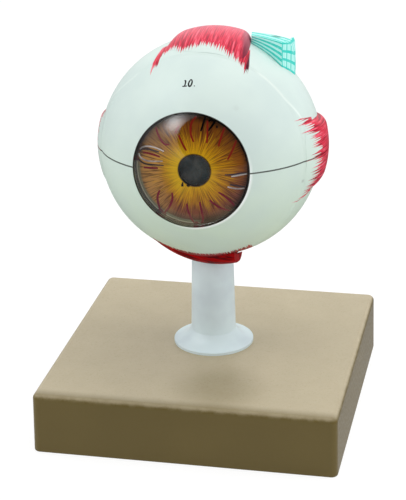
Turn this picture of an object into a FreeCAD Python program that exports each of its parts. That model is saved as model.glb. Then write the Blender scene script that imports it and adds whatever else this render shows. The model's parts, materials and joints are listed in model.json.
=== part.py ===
import FreeCAD, Part
import os
import Sketcher
from FreeCAD import Placement, Rotation, Vector

# Dissectible model of a right eye on a stand. Millimetres and degrees; a size whose name ends in _ratio is
# a share of globe_radius, and the length that follows from it has the name without that ending.
# Row frame: +Z up, the front of the base faces -Y, origin at the centre of the base's underside.
# Eye frame: origin at the globe's centre, the eye looks along -Y, +X is the nasal side, and the
# shells part along its XY plane. It stands over the post and is tipped back by gaze_tilt.

SIZES = {
    # base
    "base_side": 201.4,
    "base_height": 41.5,
    "base_draft": 0.9,
    "base_corner": 4.5,
    "base_edge_round": 3.6,
    "base_foot_round": 1.2,
    "base_wall": 3.4,
    "rib_wall": 2.6,
    "rib_foot": 8.0,
    "boss_radius": 15.0,
    "boss_foot": 27.0,
    # stand
    "stand_setback": 4.0,
    "foot_radius": 27.2,
    "foot_rim": 1.8,
    "flare_height": 9.6,
    "flare_radius": 15.0,
    "shaft_foot_radius": 15.3,
    "shaft_top_radius": 14.1,
    "socket_reach": 5.2,
    "spigot_radius": 8.5,
    "spigot_length": 7.2,
    "bolt_radius": 4.0,
    "bolt_head_radius": 7.5,
    "bolt_head_height": 5.3,
    "bolt_reach": 13.0,
    "washer_radius": 12.0,
    "washer_height": 1.6,
    "insert_radius": 7.0,
    "insert_height": 16.0,
    "fit_gap": 0.1,
    # globe
    "globe_height": 183.2,
    "gaze_tilt": 3.5,
    "globe_radius": 73.0,
    "front_step": 0.5,
    "crease_angle": 67.5,
    "crease_spread": 1.8,
    "sclera_wall": 4.5,
    "seam_gap": 0.5,
    "seam_depth": 0.8,
    "pin_radius": 1.2,
    "pin_reach": 4.0,
    "pin_clearance": 0.15,
    "rear_pin_angle": 50.0,
    "front_pin_angle": 118.0,
    # cornea and its seat
    "cornea_opening_ratio": 0.51507,
    "cornea_seat_depth": 3.1,
    "cornea_ledge": 1.3,
    "cornea_curve_ratio": 0.68493,
    "cornea_wall": 1.6,
    "cornea_gap": 0.3,
    # inner shells
    "shell_gap": 0.6,
    "choroid_wall": 2.4,
    "lining_gap": 0.1,
    "retina_wall": 1.2,
    "retina_edge_angle": 52.0,
    "iris_radius_ratio": 0.48082,
    "iris_wall": 1.7,
    "iris_crown": 0.6,
    "pupil_radius_ratio": 0.14178,
    "pupil_nasal_ratio": 0.02055,
    "pupil_drop_ratio": 0.01096,
    "ciliary_opening_ratio": 0.37808,
    "ciliary_depth_ratio": 0.14932,
    "ciliary_edge_angle": 50.5,
    "process_height": 1.6,
    "process_width": 3.75,
    "process_count": 24,
    # lens and vitreous body
    "lens_front_gap": 1.6,
    "lens_front_curve_ratio": 0.82192,
    "lens_rear_curve_ratio": 0.49315,
    "lens_radius_ratio": 0.35616,
    "lens_edge": 3.0,
    "lens_edge_round": 1.7,
    "lens_bed_gap": 0.5,
    "vitreous_gap": 0.5,
    "vitreous_face_ratio": 0.58219,
    "vitreous_face_radius_ratio": 0.41096,
    "vitreous_shoulder_ratio": 0.5137,
    "vitreous_wall": 2.2,
    # optic nerve
    "nerve_angle": 15.0,
    "nerve_radius": 9.0,
    "nerve_wall": 2.2,
    "nerve_stump": 21.0,
    "nerve_notch_gap": 0.3,
    "vessel_radius": 1.3,
    "vessel_spacing": 3.4,
    "vessel_stub": 1.5,
    # muscles
    "muscle_bed_gap": 0.05,
    "muscle_peak_angle": 109.0,
    "muscle_front_angle": 68.4,
    "superior_lean_angle": 5.0,
    "muscle_back_ratio": 0.57534,
    "muscle_edge_round_ratio": 0.12329,
    "superior_rise_ratio": 0.07945,
    "medial_rise_ratio": 0.0726,
    "lateral_rise_ratio": 0.05753,
    "inferior_rise_ratio": 0.06027,
    "tall_strap_front_ratio": 0.42466,
    "tall_strap_back_ratio": 0.27397,
    "low_strap_front_ratio": 0.34247,
    "low_strap_back_ratio": 0.24658,
    "side_strap_front_ratio": 0.36986,
    "side_strap_back_ratio": 0.23288,
    "oblique_rise_ratio": 0.09589,
    "oblique_fade_angle": 53.0,
    "oblique_clock_angle": 72.0,
    "oblique_polar_angle": 80.0,
    "oblique_front_ratio": 0.29452,
    "oblique_width_ratio": 0.30137,
    "oblique_nasal_end_ratio": 0.27945,
    "oblique_temporal_end_ratio": 0.84932,
    "oblique_skew_angle": 4.0,
    "oblique_edge_round_ratio": 0.10959,
    # pulley of the superior oblique, its tendon and its muscle
    "tendon_block_ratio": 1.0274,
    "crown_curve_ratio": 1.64384,
    "crown_side_ratio": 0.33973,
    "crown_height_ratio": -0.63973,
    "tendon_narrow_front_ratio": -0.06849,
    "tendon_narrow_back_ratio": -0.21918,
    "tendon_wide_back_ratio": -0.16438,
    "pulley_front_x_ratio": 0.65068,
    "pulley_front_y_ratio": 0.04932,
    "pulley_side_x_ratio": 0.75205,
    "pulley_side_y_ratio": -0.09589,
    "pulley_back_x_ratio": 0.71918,
    "pulley_inner_x_ratio": 0.69863,
    "pulley_back_y_ratio": -0.26027,
    "pulley_curve_ratio": 0.55068,
    "pulley_curve_height_ratio": 0.73973,
    "oblique_muscle_angle": 41.0,
    "oblique_muscle_rise_ratio": 0.04658,
    "oblique_muscle_front_ratio": 0.0822,
    "oblique_muscle_back_ratio": 0.0754,
    "oblique_muscle_end_ratio": 0.71233,
    "oblique_muscle_round_ratio": 0.02192,
}

doc = FreeCAD.newDocument("EyeModel")
sheet = doc.addObject("Spreadsheet::Sheet", "Sizes")
for row, (alias, value) in enumerate(SIZES.items(), start=1):
    sheet.set(f"A{row}", alias)
    sheet.set(f"B{row}", str(value))
    sheet.setAlias(f"B{row}", alias)
    if alias.endswith("_ratio"):
        sheet.set(f"C{row}", f"=globe_radius * {alias}")
        sheet.setAlias(f"C{row}", alias.removesuffix("_ratio"))
doc.recompute()


# Sizes that follow from the driving ones, as expressions.


def on_sphere(radius, reach):
    """How far from a sphere's centre the plane lies in which its section has radius reach."""
    return f"sqrt(({radius})^2 - ({reach})^2)"


SCLERA_FRONT = "(Sizes.globe_radius - Sizes.front_step)"
SCLERA_INNER = "(Sizes.globe_radius - Sizes.sclera_wall)"
CHOROID_OUTER = f"({SCLERA_INNER} - Sizes.shell_gap)"
CHOROID_INNER = f"({CHOROID_OUTER} - Sizes.choroid_wall)"
RETINA_OUTER = f"({CHOROID_INNER} - Sizes.lining_gap)"
RETINA_INNER = f"({RETINA_OUTER} - Sizes.retina_wall)"
VITREOUS_RADIUS = f"({RETINA_INNER} - Sizes.vitreous_gap)"

# Distances in front of the globe's centre, along the line of sight.
RIM_PLANE = on_sphere(SCLERA_FRONT, "Sizes.cornea_opening")
SEAT_PLANE = f"({RIM_PLANE} - Sizes.cornea_seat_depth)"
LEDGE_OPENING = "(Sizes.cornea_opening - Sizes.cornea_ledge)"
CORNEA_RADIUS = "(Sizes.cornea_opening - Sizes.cornea_gap)"
CORNEA_EDGE = f"({RIM_PLANE} - Sizes.cornea_gap)"
CORNEA_CENTRE = f"({CORNEA_EDGE} - {on_sphere('Sizes.cornea_curve', CORNEA_RADIUS)})"
CORNEA_INNER_CURVE = "(Sizes.cornea_curve - Sizes.cornea_wall)"
CORNEA_INNER_RADIUS = f"({CORNEA_RADIUS} - Sizes.cornea_wall)"
IRIS_FRONT = on_sphere(CHOROID_OUTER, "Sizes.iris_radius")
CHOROID_FRONT = f"({IRIS_FRONT} - Sizes.iris_wall)"
CILIARY_BACK = f"({CHOROID_FRONT} - Sizes.ciliary_depth)"
CILIARY_REACH = f"({RETINA_OUTER} * sin(Sizes.ciliary_edge_angle))"
CILIARY_WALL = f"({RETINA_OUTER} * cos(Sizes.ciliary_edge_angle))"
LENS_FRONT = f"({CHOROID_FRONT} - Sizes.lens_front_gap)"
LENS_SHOULDER = (
    f"({LENS_FRONT} - Sizes.lens_front_curve + {on_sphere('Sizes.lens_front_curve', 'Sizes.lens_radius')})"
)
LENS_HEEL = f"({LENS_SHOULDER} - Sizes.lens_edge)"
LENS_REAR_CENTRE = f"({LENS_HEEL} + {on_sphere('Sizes.lens_rear_curve', 'Sizes.lens_radius')})"
BED_CURVE = "(Sizes.lens_rear_curve + Sizes.lens_bed_gap)"

SOCKET_DROP = "(Sizes.globe_radius + Sizes.socket_reach)"
SOCKET_FACE = f"(Sizes.globe_height - {SOCKET_DROP})"
BASE_CEILING = "(Sizes.base_height - Sizes.base_wall)"
PIN_CIRCLE = f"(({SCLERA_INNER} + Sizes.globe_radius - Sizes.seam_depth) / 2)"
MUSCLE_BED = "(Sizes.globe_radius + Sizes.muscle_bed_gap)"
MUSCLE_FRONT = "(-Sizes.globe_radius * cos(Sizes.muscle_front_angle))"
STRAP_DEPTH = "(Sizes.globe_radius * 1.3)"


def strap_edge(back):
    """Half width of the superior rectus at a distance behind the globe's centre."""
    span = f"(Sizes.muscle_back - {MUSCLE_FRONT})"
    taper = "(Sizes.tall_strap_front - Sizes.tall_strap_back)"
    return f"(Sizes.tall_strap_front - {taper} * (({back}) - {MUSCLE_FRONT}) / {span})"


def number(expression):
    """Value of an expression over the sheet's cells."""
    return float(sheet.evalExpression(expression))


# Placing and binding.


def bind(thing, expressions):
    """Binds properties to expressions: {"Radius": "Sizes.bolt_radius", ...}."""
    for path, expression in expressions.items():
        thing.setExpression(path, expression)
    return thing


def in_eye(thing):
    """Puts a finished piece, modelled in the eye frame, where the eye stands."""
    thing.Placement = Placement(Vector(), Rotation(Vector(-1, 0, 0), 1))
    return bind(
        thing,
        {
            "Placement.Base.y": "Sizes.stand_setback",
            "Placement.Base.z": "Sizes.globe_height",
            "Placement.Rotation.Angle": "Sizes.gaze_tilt",
        },
    )


def on_stand(thing):
    """Puts a finished piece, modelled round the post's axis, where the post stands."""
    thing.Placement = Placement(Vector(), Rotation())
    return bind(thing, {"Placement.Base.y": "Sizes.stand_setback"})


def primitive(kind, name, expressions, turn=None):
    """A Part primitive with its sizes and place bound to expressions, turned by a fixed rotation."""
    solid = doc.addObject(kind, name)
    if turn is not None:
        solid.Placement = Placement(Vector(), turn)
    return bind(solid, expressions)


def cut(name, base, tool):
    result = doc.addObject("Part::Cut", name)
    result.Base = base
    result.Tool = tool
    return result


def common(name, base, tool):
    result = doc.addObject("Part::Common", name)
    result.Base = base
    result.Tool = tool
    return result


# PartDesign helpers.


def new_body(name):
    body = doc.addObject("PartDesign::Body", name)
    body.Label = name
    return body


def origin_plane(body, role):
    return [plane for plane in body.Origin.OriginFeatures if plane.Role == role][0]


def new_sketch(body, name, role, offset=None):
    sketch = body.newObject("Sketcher::SketchObject", name)
    sketch.AttachmentSupport = [(origin_plane(body, role), "")]
    sketch.MapMode = "FlatFace"
    if offset is not None:
        sketch.setExpression("AttachmentOffset.Base.z", offset)
    return sketch


def pin_down(sketch, side, end, x, y):
    """Ties one end of a side to the coordinates x and y, given as expressions."""
    for axis, kind, expression in ((-2, "DistanceX", x), (-1, "DistanceY", y)):
        if expression == "0":
            sketch.addConstraint(Sketcher.Constraint("PointOnObject", side, end, axis))
            continue
        index = sketch.addConstraint(
            Sketcher.Constraint(kind, -1, 1, side, end, number(expression))
        )
        name = f"{kind}_{side}"
        sketch.renameConstraint(index, name)
        sketch.setExpression(f"Constraints.{name}", expression)


def arc_side(start, end, radius, turn):
    """The shorter arc from start to end; turn is 1 if it bends to the left, -1 if to the right."""
    chord = end - start
    height = (radius**2 - (chord.Length / 2) ** 2) ** 0.5
    left = Vector(-chord.y, chord.x, 0).normalize()
    centre = (start + end) * 0.5 + left * (height * turn)
    circle = Part.Circle(centre, Vector(0, 0, 1), radius)
    first, last = (start, end) if turn > 0 else (end, start)
    return Part.ArcOfCircle(circle, circle.parameter(first), circle.parameter(last))


def outline(sketch, corners, arcs=None):
    """A closed outline through corners, each an (x, y) pair of expressions, joined by straight sides.
    arcs gives, for the side that starts at a corner, its radius and which way it bends."""
    arcs = arcs or {}
    points = [Vector(number(x), number(y), 0) for x, y in corners]
    count = len(points)
    for side, start in enumerate(points):
        end = points[(side + 1) % count]
        if side in arcs:
            radius, turn = arcs[side]
            sketch.addGeometry(arc_side(start, end, number(radius), turn))
        else:
            sketch.addGeometry(Part.LineSegment(start, end))
    heads = [2 if arcs.get(side, ("", 1))[1] < 0 else 1 for side in range(count)]
    for side in range(count):
        following = (side + 1) % count
        sketch.addConstraint(
            Sketcher.Constraint("Coincident", side, 3 - heads[side], following, heads[following])
        )
    for side, (x, y) in enumerate(corners):
        pin_down(sketch, side, heads[side], x, y)
    for side, (radius, _) in arcs.items():
        index = sketch.addConstraint(Sketcher.Constraint("Radius", side, number(radius)))
        sketch.renameConstraint(index, f"Radius_{side}")
        sketch.setExpression(f"Constraints.Radius_{side}", radius)
    return sketch


def spin(body, name, sketch, angle=360, upwards=False):
    """Revolves a profile about its own vertical axis. Half a turn from the eye's XY plane fills the
    lower half, or the upper half if upwards."""
    feature = body.newObject("PartDesign::Revolution", name)
    feature.Profile = sketch
    feature.ReferenceAxis = (sketch, ["V_Axis"])
    feature.Angle = angle
    feature.Reversed = upwards
    return feature


def turned_body(name, corners, arcs, role="XY_Plane", angle=360, upwards=False):
    body = new_body(name)
    profile = outline(new_sketch(body, f"{name}_profile", role), corners, arcs)
    spin(body, f"{name}_turned", profile, angle, upwards)
    return body


def extrude(body, kind, name, sketch, length, **settings):
    feature = body.newObject(f"PartDesign::{kind}", name)
    feature.Profile = sketch
    feature.setExpression("Length", length)
    for setting, value in settings.items():
        if isinstance(value, str):
            feature.setExpression(setting, value)
        else:
            setattr(feature, setting, value)
    return feature


def circle_sketch(body, name, role, radius, offset=None):
    sketch = new_sketch(body, name, role, offset)
    sketch.addGeometry(Part.Circle(Vector(), Vector(0, 0, 1), number(radius)))
    sketch.addConstraint(Sketcher.Constraint("Coincident", 0, 3, -1, 1))
    index = sketch.addConstraint(Sketcher.Constraint("Radius", 0, number(radius)))
    sketch.renameConstraint(index, "Radius_0")
    sketch.setExpression("Constraints.Radius_0", radius)
    return sketch


def rectangle(low_x, low_y, high_x, high_y):
    return [(low_x, low_y), (high_x, low_y), (high_x, high_y), (low_x, high_y)]


def round_edges(body, name, radius, wanted):
    """Fillets the edges of a body that wanted(edge) picks."""
    doc.recompute()
    tip = body.Tip
    edges = [f"Edge{i}" for i, edge in enumerate(tip.Shape.Edges, start=1) if wanted(edge)]
    fillet = body.newObject("PartDesign::Fillet", name)
    fillet.Base = (tip, edges)
    fillet.setExpression("Radius", radius)
    return fillet


def drill(body, name, radius, height, place, turn):
    """A round hole: a subtractive cylinder with its sizes and place bound to expressions."""
    hole = body.newObject("PartDesign::SubtractiveCylinder", name)
    hole.Placement = Placement(Vector(), turn)
    return bind(hole, {"Radius": radius, "Height": height, **place})


UPRIGHT = Rotation()
LOOKING_BACK = Rotation(Vector(1, 0, 0), -90)
HALF_TURN = 180
pieces = []


def piece(name, thing):
    thing.Label = name
    pieces.append((name, thing))
    return thing


# Base: a drafted tray, open below, with cross ribs and a boss for the bolt.


def make_base():
    body = new_body("base_tray")
    half = "(Sizes.base_side / 2)"
    square = rectangle(f"-{half}", f"-{half}", half, half)
    block = outline(new_sketch(body, "base_square", "XY_Plane"), square)
    extrude(body, "Pad", "base_block", block, "Sizes.base_height", TaperAngle="-Sizes.base_draft")
    doc.recompute()
    top = number("Sizes.base_height")

    def steep(edge):
        return edge.BoundBox.ZLength > top / 2

    def level_at(height):
        return lambda edge: edge.BoundBox.ZLength < 1e-3 and abs(edge.BoundBox.ZMin - height) < 1e-3

    round_edges(body, "base_corners", "Sizes.base_corner", steep)
    round_edges(body, "base_top_edge", "Sizes.base_edge_round", level_at(top))
    round_edges(body, "base_foot_edge", "Sizes.base_foot_round", level_at(0))
    inner = f"({half} - Sizes.base_wall)"
    cavity = rectangle(f"-{inner}", f"-{inner}", inner, inner)
    extrude(
        body,
        "Pocket",
        "base_cavity",
        outline(new_sketch(body, "base_cavity_square", "XY_Plane"), cavity),
        BASE_CEILING,
        Reversed=True,
        TaperAngle="-Sizes.base_draft",
    )
    rib = "(Sizes.rib_wall / 2)"
    rib_height = f"({BASE_CEILING} - Sizes.rib_foot)"
    lengthwise = rectangle(f"-{rib}", f"-{inner}", rib, inner)
    along = outline(new_sketch(body, "rib_along", "XY_Plane", "Sizes.rib_foot"), lengthwise)
    extrude(body, "Pad", "base_rib_along", along, rib_height)
    centre = "Sizes.stand_setback"
    crosswise = rectangle(f"-{inner}", f"{centre} - {rib}", inner, f"{centre} + {rib}")
    across = outline(new_sketch(body, "rib_across", "XY_Plane", "Sizes.rib_foot"), crosswise)
    extrude(body, "Pad", "base_rib_across", across, rib_height)
    boss = body.newObject("PartDesign::AdditiveCylinder", "base_boss")
    bind(
        boss,
        {
            "Radius": "Sizes.boss_radius",
            "Height": f"{BASE_CEILING} - Sizes.boss_foot",
            "Placement.Base.y": centre,
            "Placement.Base.z": "Sizes.boss_foot",
        },
    )
    drill(
        body,
        "base_washer_recess",
        "Sizes.boss_radius",
        "Sizes.boss_foot",
        {"Placement.Base.y": centre},
        UPRIGHT,
    )
    drill(
        body,
        "base_bolt_hole",
        "Sizes.bolt_radius + Sizes.fit_gap",
        "Sizes.base_height * 2",
        {"Placement.Base.y": centre},
        UPRIGHT,
    )
    return piece("base_tray", body)


# Stand: the post and what bolts it down.


def make_stand():
    insert_top = "Sizes.base_height + Sizes.insert_height + Sizes.fit_gap"
    pocket = "Sizes.insert_radius + Sizes.fit_gap"
    shoulder = f"{SOCKET_FACE} - Sizes.fit_gap"
    corners = [
        ("0", insert_top),
        (pocket, insert_top),
        (pocket, "Sizes.base_height"),
        ("Sizes.foot_radius", "Sizes.base_height"),
        ("Sizes.foot_radius", "Sizes.base_height + Sizes.foot_rim"),
        ("Sizes.shaft_foot_radius", "Sizes.base_height + Sizes.flare_height"),
        ("Sizes.shaft_top_radius", shoulder),
        ("Sizes.spigot_radius", shoulder),
        ("Sizes.spigot_radius", f"{SOCKET_FACE} + Sizes.spigot_length"),
        ("0", f"{SOCKET_FACE} + Sizes.spigot_length"),
    ]
    post = turned_body("stand_post", corners, {4: ("Sizes.flare_radius", -1)}, "XZ_Plane")
    piece("stand_post", on_stand(post))

    sleeve = primitive(
        "Part::Cylinder",
        "insert_sleeve",
        {
            "Radius": "Sizes.insert_radius",
            "Height": "Sizes.insert_height",
            "Placement.Base.z": "Sizes.base_height",
        },
    )
    thread = primitive(
        "Part::Cylinder",
        "insert_thread",
        {
            "Radius": "Sizes.bolt_radius + Sizes.fit_gap",
            "Height": "Sizes.insert_height",
            "Placement.Base.z": "Sizes.base_height",
        },
    )
    piece("threaded_insert", on_stand(cut("threaded_insert", sleeve, thread)))

    disc = primitive(
        "Part::Cylinder",
        "washer_disc",
        {
            "Radius": "Sizes.washer_radius",
            "Height": "Sizes.washer_height",
            "Placement.Base.z": "Sizes.boss_foot - Sizes.washer_height",
        },
    )
    eye = primitive(
        "Part::Cylinder",
        "washer_hole",
        {
            "Radius": "Sizes.bolt_radius + Sizes.fit_gap",
            "Height": "Sizes.washer_height",
            "Placement.Base.z": "Sizes.boss_foot - Sizes.washer_height",
        },
    )
    piece("stand_washer", on_stand(cut("stand_washer", disc, eye)))

    head_top = "Sizes.boss_foot - Sizes.washer_height"
    head = primitive(
        "Part::Prism",
        "bolt_head",
        {
            "Circumradius": "Sizes.bolt_head_radius",
            "Height": "Sizes.bolt_head_height",
            "Placement.Base.z": f"{head_top} - Sizes.bolt_head_height",
        },
    )
    shank = primitive(
        "Part::Cylinder",
        "bolt_shank",
        {
            "Radius": "Sizes.bolt_radius",
            "Height": f"Sizes.base_height + Sizes.bolt_reach - ({head_top})",
            "Placement.Base.z": head_top,
        },
    )
    bolt = doc.addObject("Part::Fuse", "stand_bolt")
    bolt.Base = head
    bolt.Tool = shank
    piece("stand_bolt", on_stand(bolt))


# Shells of the globe.


def nerve_turn():
    """Turns a cylinder's axis to the way the optic nerve leaves the globe."""
    return Rotation(Vector(0, 0, 1), -number("Sizes.nerve_angle")).multiply(LOOKING_BACK)


def along_nerve(distance):
    """The place of a point on the nerve's axis, at a distance from the globe's centre."""
    return {
        "Placement.Base.x": f"({distance}) * sin(Sizes.nerve_angle)",
        "Placement.Base.y": f"({distance}) * cos(Sizes.nerve_angle)",
    }


def pin_spots():
    """Places of the locating pins on the seam, as angles from straight back, temporal ones negative."""
    for end in ("rear", "front"):
        for side in ("", "-"):
            angle = f"{side}Sizes.{end}_pin_angle"
            yield f"{PIN_CIRCLE} * sin({angle})", f"{PIN_CIRCLE} * cos({angle})"


def make_sclera(name, upwards):
    low_crease = "(Sizes.crease_angle - Sizes.crease_spread / 2)"
    high_crease = "(Sizes.crease_angle + Sizes.crease_spread / 2)"
    corners = [
        ("Sizes.cornea_opening", f"-{RIM_PLANE}"),
        (f"{SCLERA_FRONT} * sin{low_crease}", f"-{SCLERA_FRONT} * cos{low_crease}"),
        (f"Sizes.globe_radius * sin{high_crease}", f"-Sizes.globe_radius * cos{high_crease}"),
        ("0", "Sizes.globe_radius"),
        ("0", SCLERA_INNER),
        (LEDGE_OPENING, f"-{on_sphere(SCLERA_INNER, LEDGE_OPENING)}"),
        (LEDGE_OPENING, f"-{SEAT_PLANE}"),
        ("Sizes.cornea_opening", f"-{SEAT_PLANE}"),
    ]
    arcs = {0: (SCLERA_FRONT, 1), 2: ("Sizes.globe_radius", 1), 4: (SCLERA_INNER, -1)}
    body = turned_body(name, corners, arcs, angle=HALF_TURN, upwards=upwards)
    gap = "Sizes.nerve_notch_gap" if upwards else "Sizes.fit_gap"
    drill(
        body,
        f"{name}_nerve_notch",
        f"Sizes.nerve_radius + {gap}",
        "Sizes.globe_radius",
        along_nerve("Sizes.globe_radius / 2"),
        nerve_turn(),
    )
    clearance = "Sizes.pin_clearance" if upwards else "Sizes.fit_gap / 2"
    floor = "0" if upwards else "-Sizes.pin_reach - Sizes.fit_gap"
    for index, (x, y) in enumerate(pin_spots()):
        drill(
            body,
            f"{name}_pin_hole_{index}",
            f"Sizes.pin_radius + {clearance}",
            "Sizes.pin_reach + Sizes.fit_gap",
            {"Placement.Base.x": x, "Placement.Base.y": y, "Placement.Base.z": floor},
            UPRIGHT,
        )
    return body


def make_globe():
    """The two white half shells, the cornea and the pins between the halves."""
    upper = make_sclera("sclera_upper", True)
    # a shadow line: the outer edge of the upper half stands off the lower one
    ring = circle_sketch(upper, "seam_outer", "XY_Plane", "Sizes.globe_radius * 1.2")
    ring.addGeometry(Part.Circle(Vector(), Vector(0, 0, 1), number("Sizes.globe_radius - Sizes.seam_depth")))
    ring.addConstraint(Sketcher.Constraint("Coincident", 1, 3, -1, 1))
    index = ring.addConstraint(
        Sketcher.Constraint("Radius", 1, number("Sizes.globe_radius - Sizes.seam_depth"))
    )
    ring.renameConstraint(index, "Radius_1")
    ring.setExpression("Constraints.Radius_1", "Sizes.globe_radius - Sizes.seam_depth")
    extrude(upper, "Pocket", "seam_groove", ring, "Sizes.seam_gap", Reversed=True)
    piece("sclera_upper", in_eye(upper))

    lower = make_sclera("sclera_lower", False)
    upright = Rotation(Vector(1, 0, 0), number("Sizes.gaze_tilt"))
    boss = lower.newObject("PartDesign::AdditiveCylinder", "socket_boss")
    boss.Placement = Placement(Vector(), upright)
    bind(
        boss,
        {
            "Radius": "Sizes.shaft_top_radius",
            "Height": f"{SOCKET_DROP} - {SCLERA_INNER} - Sizes.sclera_wall / 8",
            "Placement.Base.y": f"{SOCKET_DROP} * sin(Sizes.gaze_tilt)",
            "Placement.Base.z": f"-{SOCKET_DROP} * cos(Sizes.gaze_tilt)",
        },
    )
    drill(
        lower,
        "socket_bore",
        "Sizes.spigot_radius + Sizes.fit_gap",
        "Sizes.spigot_length + Sizes.fit_gap",
        {
            "Placement.Base.y": f"{SOCKET_DROP} * sin(Sizes.gaze_tilt)",
            "Placement.Base.z": f"-{SOCKET_DROP} * cos(Sizes.gaze_tilt)",
        },
        upright,
    )
    piece("sclera_lower", in_eye(lower))

    pins = [
        primitive(
            "Part::Cylinder",
            f"pin_{index}",
            {
                "Radius": "Sizes.pin_radius",
                "Height": "Sizes.pin_reach * 2",
                "Placement.Base.x": x,
                "Placement.Base.y": y,
                "Placement.Base.z": "-Sizes.pin_reach",
            },
        )
        for index, (x, y) in enumerate(pin_spots())
    ]
    group = doc.addObject("Part::Compound", "locating_pins")
    group.Links = pins
    piece("locating_pins", in_eye(group))

    back = f"-{SEAT_PLANE} - Sizes.fit_gap"
    inner_edge = f"-({CORNEA_CENTRE} + {on_sphere(CORNEA_INNER_CURVE, CORNEA_INNER_RADIUS)})"
    corners = [
        ("0", f"-{CORNEA_CENTRE} - Sizes.cornea_curve"),
        (CORNEA_RADIUS, f"-{CORNEA_EDGE}"),
        (CORNEA_RADIUS, back),
        (CORNEA_INNER_RADIUS, back),
        (CORNEA_INNER_RADIUS, inner_edge),
        ("0", f"-{CORNEA_CENTRE} - {CORNEA_INNER_CURVE}"),
    ]
    arcs = {0: ("Sizes.cornea_curve", 1), 4: (CORNEA_INNER_CURVE, -1)}
    piece("cornea", in_eye(turned_body("cornea", corners, arcs)))


def make_inner_half(half, upwards):
    """Choroid, retina, ciliary body and iris of one half."""
    choroid = [
        (on_sphere(CHOROID_OUTER, CHOROID_FRONT), f"-{CHOROID_FRONT}"),
        ("0", CHOROID_OUTER),
        ("0", CHOROID_INNER),
        (on_sphere(CHOROID_INNER, CHOROID_FRONT), f"-{CHOROID_FRONT}"),
    ]
    arcs = {0: (CHOROID_OUTER, 1), 2: (CHOROID_INNER, -1)}
    name = f"choroid_{half}"
    piece(name, in_eye(turned_body(name, choroid, arcs, angle=HALF_TURN, upwards=upwards)))

    edge = "(Sizes.retina_edge_angle)"
    retina = [
        (f"{RETINA_OUTER} * sin{edge}", f"-{RETINA_OUTER} * cos{edge}"),
        ("0", RETINA_OUTER),
        ("0", RETINA_INNER),
        (f"{RETINA_INNER} * sin{edge}", f"-{RETINA_INNER} * cos{edge}"),
    ]
    arcs = {0: (RETINA_OUTER, 1), 2: (RETINA_INNER, -1)}
    name = f"retina_{half}"
    piece(name, in_eye(turned_body(name, retina, arcs, angle=HALF_TURN, upwards=upwards)))

    ring = [
        (on_sphere(RETINA_OUTER, CHOROID_FRONT), f"-{CHOROID_FRONT}"),
        (CILIARY_REACH, f"-{CILIARY_WALL}"),
        ("Sizes.ciliary_opening", f"-{CILIARY_BACK}"),
        ("Sizes.ciliary_opening", f"-{CHOROID_FRONT}"),
    ]
    name = f"ciliary_body_{half}"
    body = turned_body(name, ring, {0: (RETINA_OUTER, 1)}, angle=HALF_TURN, upwards=upwards)
    root_x = f"Sizes.ciliary_opening + 0.8 * ({CILIARY_REACH} - Sizes.ciliary_opening)"
    root_y = f"-{CILIARY_BACK} + 0.8 * ({CILIARY_BACK} - {CILIARY_WALL})"
    fin = [
        ("Sizes.ciliary_opening", f"-{CILIARY_BACK}"),
        (root_x, root_y),
        ("Sizes.ciliary_opening + Sizes.process_height", f"-{CILIARY_BACK} + Sizes.process_height"),
    ]
    fin_profile = outline(new_sketch(body, f"{name}_process_profile", "XY_Plane"), fin)
    process = spin(body, f"{name}_process", fin_profile, upwards=upwards)
    process.setExpression("Angle", "Sizes.process_width")
    doc.recompute()
    pattern = body.newObject("PartDesign::PolarPattern", f"{name}_processes")
    pattern.Originals = [process]
    pattern.Axis = (fin_profile, ["V_Axis"])
    pattern.Reversed = upwards
    pattern.setExpression("Angle", f"{HALF_TURN} - Sizes.process_width")
    pattern.setExpression("Occurrences", "Sizes.process_count")
    body.Tip = pattern
    piece(name, in_eye(body))

    disc = [
        ("0", f"-{IRIS_FRONT} - Sizes.iris_crown"),
        ("Sizes.iris_radius", f"-{IRIS_FRONT}"),
        ("Sizes.iris_radius", f"-{CHOROID_FRONT}"),
        ("0", f"-{CHOROID_FRONT}"),
    ]
    name = f"iris_{half}"
    body = turned_body(name, disc, {}, angle=HALF_TURN, upwards=upwards)
    drill(
        body,
        f"{name}_pupil",
        "Sizes.pupil_radius",
        "Sizes.globe_radius",
        {
            "Placement.Base.x": "Sizes.pupil_nasal",
            "Placement.Base.y": "-Sizes.globe_radius",
            "Placement.Base.z": "-Sizes.pupil_drop",
        },
        LOOKING_BACK,
    )
    piece(name, in_eye(body))


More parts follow.
